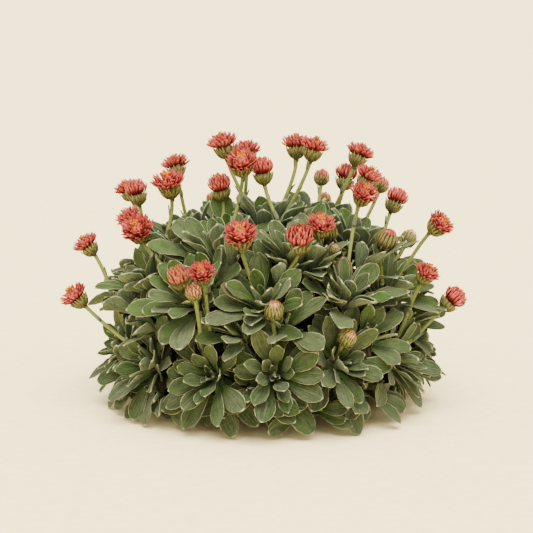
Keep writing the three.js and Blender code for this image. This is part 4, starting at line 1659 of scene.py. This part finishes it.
@dataclass
class LeafyRosette:
    """A rosette: woody stem, leaves of the frame, the leaves between them, and its flower stems."""

    place: RosettePlace
    heads: list[tuple[int, Head]]
    habit: LeafHabit = field(default_factory=LeafHabit)
    leaves: list[Leaf] = field(default_factory=list)
    stems: list[FlowerStem] = field(default_factory=list)
    wood_radius: float = 2.4
    wood_sides: int = 10
    wood_stations: int = 16
    steep_share: float = 0.62
    least_climb: float = 30.0
    axis_run: float = 12.0
    pan_height: float = 26.0
    rim_clearance: float = 4.0
    stem_places: int = 15
    checked_place: int = 9
    stem_fan: float = 0.2
    stem_reach: float = 0.3
    stem_straightness: float = 0.55

    @property
    def node(self) -> str:
        """The name of the rosette's solid."""
        return f"rosette_{self.place.index + 1:02d}"

    def read_frame(self, thicket: Thicket) -> None:
        """Finds the leaves and flower stems that the rosette's solid has.

        Args:
            thicket: Takes the leaves found.
        """
        corners = np.array([vertex.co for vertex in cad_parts[self.node].data.vertices]) / MM
        crown = self.habit.crown
        taken = set()
        for number, head in self.heads:
            column, path = self.stem_path(head, corners, taken)
            taken.add(column)
            self.stems.append(FlowerStem(head, number, path))
        for row in range(crown.rows, 0, -1):
            for column in range(crown.columns):
                leaf = self.habit.found(self.place, row, column, corners)
                if leaf is not None:
                    self.leaves.append(leaf)
                    thicket.add(leaf, crowded=True)

    def stem_path(self, head: Head, corners: Array, taken: set[int]) -> tuple[int, Bend]:
        """Finds the facet that a head's stem grows from, by where its solid has corners.

        Args:
            head: The flower head.
            corners: The solid's corners.
            taken: The columns that other stems have.

        Returns:
            The facet's column, and the stem's path.
        """
        crown, place = self.habit.crown, self.place
        tries = []
        for column in range(crown.columns):
            if column in taken:
                continue
            start = crown.facet(place, crown.rows, column)
            reach = self.stem_reach * np.linalg.norm(head.neck - start)
            ahead = unit(place.axis + (unit(head.neck - start) - place.axis) * self.stem_straightness)
            fan = start - place.middle
            fan = unit(fan - place.axis * np.dot(fan, place.axis))
            path = Bend((start, start + ahead * reach + fan * self.stem_fan * reach,
                         head.neck - head.axis * reach, head.neck))
            spot = path.evenly(np.array([self.checked_place / self.stem_places]))[0]
            nearest = np.sort(np.linalg.norm(corners - spot, axis=1))[:4]
            tries.append((float(np.abs(nearest - FlowerStem.frame_radius).sum()), column, path))
        gap, column, path = min(tries, key=lambda found: found[0])
        if gap > 4 * FRAME_MATCH:
            log.warning("%s: a flower stem is %.2f mm off its solid", self.node, gap)
        return column, path

    def fill(self, tier: LeafTier, thicket: Thicket) -> None:
        """Adds a tier of leaves where there is room.

        Args:
            tier: What they are like.
            thicket: What they keep clear of.
        """
        rank, opening = int(tier.polar), self.place.opening
        count = max(3, round(tier.count * (2 * opening - 1)))
        for i in range(count):
            for attempt in range(tier.tries):
                key = (self.place.index, 60 + rank, i, attempt)
                around = 2 * math.pi * (i + 0.37 * rank + sway(1.2, *key, 1)) / count
                out = self.place.outward(around)
                length = self.place.growth * tier.length * (1 + sway(0.34, *key, 2)) * (1 - 0.03 * attempt)
                arch = math.radians(tier.arch + sway(12, *key, 3))
                polar = opening**2 * tier.polar + sway(tier.polar_sway, *key, 4)
                reach = 1.4 if tier.crowded else 2.3
                rib = Rib(self.place.middle + self.place.axis * tier.height + out * reach, self.place.axis,
                          out, math.radians(polar) - arch / 2, arch, length, math.radians(sway(60, *key, 5)),
                          sway(0.26, *key, 11))
                width = (tier.width_share + 0.2 * (1 - opening)) * length * (1 + sway(0.16, *key, 6))
                dry = tier.polar > 80 and chance(*key, 10) < DRY_SHARE
                leaf = Leaf(rib, width, key, self.place.green(tier.fresh, *key, 7),
                            Outline(point=0.55 + 0.35 * chance(*key, 8)), 0.7 + 0.9 * chance(*key, 9),
                            DRYNESS if dry else 0.0)
                if thicket.add(leaf, tier.crowded):
                    self.leaves.append(leaf)
                    break

    def wood(self) -> Bend:
        """Lays the woody stem: up from the soil, over the pan's rim and out to the crown.

        Returns:
            Its path.
        """
        middle, axis, foot = self.place.middle, self.place.axis, self.place.foot
        climb = foot + 0.05 * (middle - foot)
        climb[2] = foot[2] + max(self.steep_share * (middle[2] - foot[2]), self.least_climb)
        bend = middle - self.axis_run * axis
        bend[2] = max(bend[2], self.pan_height + 2 * self.wood_radius + self.rim_clearance)
        return Bend((foot, climb, bend, middle + self.habit.crown.foot * axis))

    def grow(self, surface: Surface) -> None:
        """Adds the leaves, crown and woody stem.

        Args:
            surface: Where they go, with leaf and bark as its materials.
        """
        keys = [[chance(self.place.index, i, j, 71) for j in range(self.wood_sides)]
                for i in range(self.wood_stations)]
        knots = self.wood_radius * (0.9 + 0.2 * np.array(keys))
        surface.pipe(self.wood().track(np.linspace(0, 1, self.wood_stations)), knots, self.wood_sides,
                     (0.4, 0.0, 0.0), 1)
        crown = self.habit.crown
        heights = [crown.foot - 1, *(crown.foot + crown.step * ring for ring in range(5)), 5.6]
        track = straight(self.place.middle + np.outer(heights, self.place.axis), self.place.axis,
                         self.place.side)
        surface.pipe(track, np.array([2.2, *crown.radii, 0.7]), self.wood_sides, (0.4, 1.0, 0.0))
        for leaf in self.leaves:
            leaf.grow(surface, 0)

    def build_leaves(self, materials: Sequence[Material]) -> None:
        """Makes the piece with the leaves, crown and woody stem.

        Args:
            materials: Leaf and bark.
        """
        surface = Surface()
        self.grow(surface)
        piece = surface.to_object(f"leaves_{self.place.index + 1:02d}", materials)
        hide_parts(self.node)

    def build_stems(self, materials: Sequence[Material]) -> None:
        """Makes the piece with the flower stems, their small leaves and the cups and buds, if it has any.

        Args:
            materials: Stem, leaf, bract and floret.
        """
        if not self.stems:
            return
        surface = Surface()
        for stem in self.stems:
            stem.grow(surface, 0, 1)
            FlowerHead(stem.head, stem.number).grow_cup(surface, 2)
        piece = surface.to_object(f"flower_stems_{self.place.index + 1:02d}", materials)
        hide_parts(self.node)


@dataclass
class Offshoot(LeafyRosette):
    """A young rosette between the others, on a side branch."""

    wood_radius: float = 1.5
    axis_run: float = 8.0

    def wood(self) -> Bend:
        """Gives the side branch's path."""
        middle, axis, foot = self.place.middle, self.place.axis, self.place.foot
        return Bend((foot, foot + (middle - foot) * 0.4, middle - self.axis_run * axis,
                     middle + self.habit.crown.foot * axis))


@dataclass
class Thatch:
    """Withered leaves that hang under the rosettes and hide the pan."""

    per_rosette: int = 10
    length: float = 22.5
    width_share: float = 0.3
    outward: float = 0.5
    droop: float = 0.55
    polar: float = 88.0
    arch: float = 50.0
    floor: float = 0.5
    tries: int = 8

    def leaf(self, place: RosettePlace, wood: Bend, i: int, attempt: int) -> Leaf:
        """Works out one try at a withered leaf.

        Args:
            place: The rosette's place.
            wood: Its woody stem.
            i: The leaf's number.
            attempt: Which try it is.

        Returns:
            The leaf.
        """
        key = (place.index, 80, i, attempt)
        spot = wood.track(np.array([0.0, 0.55 + 0.42 * (i + 0.5) / self.per_rosette, 1.0]))
        turn = GOLDEN_TURN * i + 6 * chance(*key, 1)
        out = unit(spot.across[1] * math.cos(turn) + spot.face[1] * math.sin(turn)
                   + self.outward * unit(place.middle * (1 - UP)) - self.droop * UP)
        axis = unit(spot.ahead[1] - out * np.dot(spot.ahead[1], out))
        arch = math.radians(self.arch + sway(40, *key, 2))
        start = math.radians(self.polar + sway(36, *key, 3)) - arch / 2
        length = place.growth**2 * self.length * (1 + sway(0.5, *key, 4)) * (1 - 0.08 * attempt)
        rib = Rib(spot.point[1] + out * 2, axis, out, start, arch, length,
                  math.radians(sway(120, *key, 5)))
        return Leaf(rib, self.width_share * rib.length, key, 0.1 + 0.9 * chance(*key, 6) ** 2,
                    Outline(point=0.8), 1.6 + 1.6 * chance(*key, 7))

    def build(self, rosettes: Sequence[LeafyRosette], material: Material) -> None:
        """Makes the piece.

        Args:
            rosettes: The rosettes that it hangs from.
            material: The dead leaves' material.
        """
        surface = Surface()
        for rosette in rosettes:
            wood = rosette.wood()
            for i in range(self.per_rosette):
                for attempt in range(self.tries):
                    leaf = self.leaf(rosette.place, wood, i, attempt)
                    if leaf.extent()[0][2] > self.floor:
                        leaf.grow(surface, 0, 7)
                        break
        surface.to_object("dead_leaves", [material])


@dataclass
class Pan:
    """The low pan, turned round and smooth, with drain holes in its floor."""

    height: float = 26.0
    base_radius: float = 41.0
    top_radius: float = 47.0
    wall: float = 3.0
    floor: float = 4.0
    rim_out: float = 1.8
    rim_height: float = 5.0
    rounding: float = 0.7
    segments: int = 96
    drain_holes: int = 4
    drain_radius: float = 3.5
    drain_circle: float = 23.0
    drain_sides: int = 24

    def radius(self, height: float) -> float:
        """Gives the outer radius at a height."""
        return self.base_radius + (self.top_radius - self.base_radius) * height / self.height

    def profile(self) -> Array:
        """Draws the section from the middle of the base, round the rim and back to the middle inside.

        Returns:
            Its radii and heights.
        """
        r, top = self.rounding, self.height
        foot = top - self.rim_height
        neck, rim = self.radius(foot), self.top_radius + self.rim_out
        mouth, well = self.top_radius - self.wall, self.radius(self.floor) - self.wall
        return np.array([
            (0.02, 0.0), (self.base_radius * 0.5, 0.0), (self.base_radius - r, 0.0), (self.base_radius, r),
            (neck, foot), (neck + self.rim_out - r, foot + 0.1), (neck + self.rim_out, foot + r),
            (rim, top - r), (rim - r, top), (mouth + r, top), (mouth, top - r),
            (well, self.floor + 1.5), (well - 1.5, self.floor), (self.base_radius * 0.5, self.floor),
            (0.02, self.floor),
        ])

    def build(self, material: Material) -> None:
        """Makes the piece.

        Args:
            material: The clay.
        """
        surface = Surface()
        profile = self.profile()
        surface.pipe(straight(np.outer(profile[:, 1], UP), UP, EAST), profile[:, 0], self.segments,
                     (0.5, 0.0, 0.0))
        piece = surface.to_object("clay_pan", [material])
        self.drill(piece)
        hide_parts("pot")

    def drill(self, piece: bpy.types.Object) -> None:
        """Cuts the drain holes through the pan's floor.

        Args:
            piece: The pan.
        """
        drills = Surface()
        for i in range(self.drain_holes):
            centre = leaning(90, 45 + 360 * i / self.drain_holes) * self.drain_circle
            track = straight(centre + np.outer([-2.0, self.floor + 2.0], UP), UP, EAST)
            drills.pipe(track, np.full(2, self.drain_radius), self.drain_sides, (0.5, 0.0, 0.0))
        cutter = drills.to_object("drain_cutter", [])
        modifier = piece.modifiers.new("drain", "BOOLEAN")
        modifier.operation = "DIFFERENCE"
        modifier.object = cutter
        scene_state = bpy.context.evaluated_depsgraph_get()
        cut = bpy.data.meshes.new_from_object(piece.evaluated_get(scene_state))
        piece.modifiers.clear()
        piece.data = cut
        bpy.data.objects.remove(cutter)


@dataclass
class Soil:
    """The soil in the pan: its solid, dressed, under loose crumbs."""

    top: float = 21.0
    reach: float = 41.0
    crumbs: int = 200
    crumb_size: float = 2.0
    crumb_sides: int = 7
    crumb_heights: tuple[float, ...] = (-0.75, -0.3, 0.35, 0.75)
    crumb_radii: tuple[float, ...] = (0.5, 0.95, 0.9, 0.45)
    lumpiness: float = 0.5

    def build(self, material: Material) -> None:
        """Dresses the soil's solid and makes the crumbs.

        Args:
            material: The soil.
        """
        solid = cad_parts["soil"]
        solid.data.materials.clear()
        solid.data.materials.append(material)
        surface = Surface()
        for i in range(self.crumbs):
            reach = self.reach * math.sqrt((i + 0.5) / self.crumbs)
            spot = leaning(90, math.degrees(GOLDEN_TURN * i)) * reach
            size = self.crumb_size * (0.4 + 1.1 * chance(i, 91) ** 2)
            spot[2] = self.top + size * 0.45
            axis = leaning(40 * chance(i, 92), 360 * chance(i, 93))
            side = unit(np.cross(axis, leaning(90, 77)))
            lumps = np.array([[1 + sway(self.lumpiness, i, j, k, 94) for k in range(self.crumb_sides)]
                              for j in range(len(self.crumb_radii))])
            track = straight(spot + np.outer(size * np.array(self.crumb_heights), axis), axis, side)
            surface.pipe(track, size * np.array(self.crumb_radii)[:, None] * lumps, self.crumb_sides,
                         (0.5, 0.0, 0.0))
        surface.to_object("soil_crumbs", [material])


@dataclass
class Plant:
    """The whole plant in its pan."""

    dome: Dome = field(default_factory=Dome)
    pan: Pan = field(default_factory=Pan)
    soil: Soil = field(default_factory=Soil)
    thatch: Thatch = field(default_factory=Thatch)

    def build(self) -> None:
        """Grows the plant, from what the frame holds to what fills it out, and makes every piece."""
        leaf, stem, bract = LeafFinish().material(), StemFinish().material(), BractFinish().material()
        floret, bark = FloretFinish().material(), BARK.material()
        thicket = Thicket()
        thicket.block(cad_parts["pot"])
        thicket.block(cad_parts["soil"])
        rosettes = [LeafyRosette(place, [(number, head) for number, head in enumerate(HEADS)
                                         if head.rosette == place.index]) for place in self.dome.places()]
        for rosette in rosettes:
            rosette.read_frame(thicket)
        log.info("%d leaves and %d stems read from the frame", sum(len(r.leaves) for r in rosettes),
                 sum(len(r.stems) for r in rosettes))
        offshoots = [Offshoot(place, []) for place in self.dome.offshoots([r.place for r in rosettes])]
        for group, tiers in ((rosettes, TIERS[:3]), (offshoots, YOUNG_TIERS), (rosettes, TIERS[3:])):
            for tier in tiers:
                for rosette in group:
                    rosette.fill(tier, thicket)
        log.info("%d leaves in all", sum(len(r.leaves) for r in [*rosettes, *offshoots]))
        self.pan.build(CLAY.material())
        self.soil.build(SOIL.material())
        for rosette in rosettes:
            rosette.build_leaves([leaf, bark])
            rosette.build_stems([stem, leaf, bract, floret])
        young = Surface()
        for offshoot in offshoots:
            offshoot.grow(young)
        young.to_object("offshoots", [leaf, bark])
        for number, head in enumerate(HEADS):
            if not head.plan.bud:
                FlowerHead(head, number).bloom(floret)
        self.thatch.build(rosettes, DeadLeafFinish().material())


@dataclass(frozen=True)
class FloorFinish:
    """A matt off-white paper floor."""

    name: str = "studio_floor"
    colour: Colour = linear(252, 235, 184)
    second: Colour = linear(243, 226, 176)

    def material(self) -> Material:
        """Builds the material.

        Returns:
            The material.
        """
        wiring = Dressing(self.name, roughness=0.95)
        paper = wiring.between(wiring.noise(wiring.position(), 160.0, 4.0, 0.7), 0.35, 0.65)
        return wiring.dress(base_color=wiring.mix(paper, self.colour, self.second))


@dataclass
class Studio:
    """A pale floor without an end, soft light from all round and above, and the photograph's camera."""

    elevation: float = 10.0
    distance: float = 850.0
    aim_height: float = 75.0
    pixels_per_radian: float = 1545.0
    frame_width: float = 533.0
    centre_offset: float = -1.5
    sensor: float = 36.0
    view_depth: float = 200.0
    floor_radius: float = 90.0
    floor_sides: int = 64
    world_colour: Colour = (1.0, 0.94, 0.8, 1.0)
    sun_colour: tuple[float, float, float] = (1.0, 0.94, 0.8)
    world_strength: float = 2.4
    sun_strength: float = 8.5
    sun_angle: float = 50.0
    sun_tilt: tuple[float, float] = (24.0, 3.0)

    def build(self) -> None:
        """Makes the camera, the lights and the floor."""
        self.place_camera()
        self.light()
        self.lay_floor()

    def place_camera(self) -> None:
        """Sets the camera at the photograph's angle and distance."""
        data = bpy.data.cameras.new("camera")
        camera = bpy.data.objects.new("camera", data)
        bpy.context.scene.collection.objects.link(camera)
        rise = math.radians(self.elevation)
        camera.location = (0.0, -self.distance * math.cos(rise) * MM,
                           (self.aim_height + self.distance * math.sin(rise)) * MM)
        camera.rotation_euler = (math.pi / 2 - rise, 0.0, 0.0)
        data.sensor_width = self.sensor
        data.lens = self.sensor * self.pixels_per_radian / self.frame_width
        data.shift_x = self.centre_offset / self.frame_width
        data.clip_end = self.view_depth
        bpy.context.scene.camera = camera

    def light(self) -> None:
        """Lights the scene with a pale world and one broad soft lamp from above."""
        world = bpy.data.worlds.new("studio")
        world.use_nodes = True
        background = world.node_tree.nodes["Background"]
        background.inputs["Color"].default_value = self.world_colour
        background.inputs["Strength"].default_value = self.world_strength
        bpy.context.scene.world = world
        lamp = bpy.data.lights.new("overhead", "SUN")
        lamp.energy = self.sun_strength
        lamp.angle = math.radians(self.sun_angle)
        lamp.color = self.sun_colour
        overhead = bpy.data.objects.new("overhead", lamp)
        overhead.rotation_euler = [math.radians(angle) for angle in (*self.sun_tilt, 0.0)]
        bpy.context.scene.collection.objects.link(overhead)

    def lay_floor(self) -> None:
        """Lays the floor as a wide disc."""
        mesh = bpy.data.meshes.new("floor")
        angles = [2 * math.pi * i / self.floor_sides for i in range(self.floor_sides)]
        corners = [(self.floor_radius * math.cos(a), self.floor_radius * math.sin(a), 0) for a in angles]
        mesh.from_pydata(corners, [], [list(range(self.floor_sides))])
        mesh.materials.append(FloorFinish().material())
        floor = bpy.data.objects.new("floor", mesh)
        bpy.context.scene.collection.objects.link(floor)


def main() -> None:
    """Builds the studio and the plant round the frame."""
    logging.basicConfig(level=logging.INFO, format="%(message)s")
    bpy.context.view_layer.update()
    Studio().build()
    Plant().build()
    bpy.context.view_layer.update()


if __name__ == "__main__":
    main()
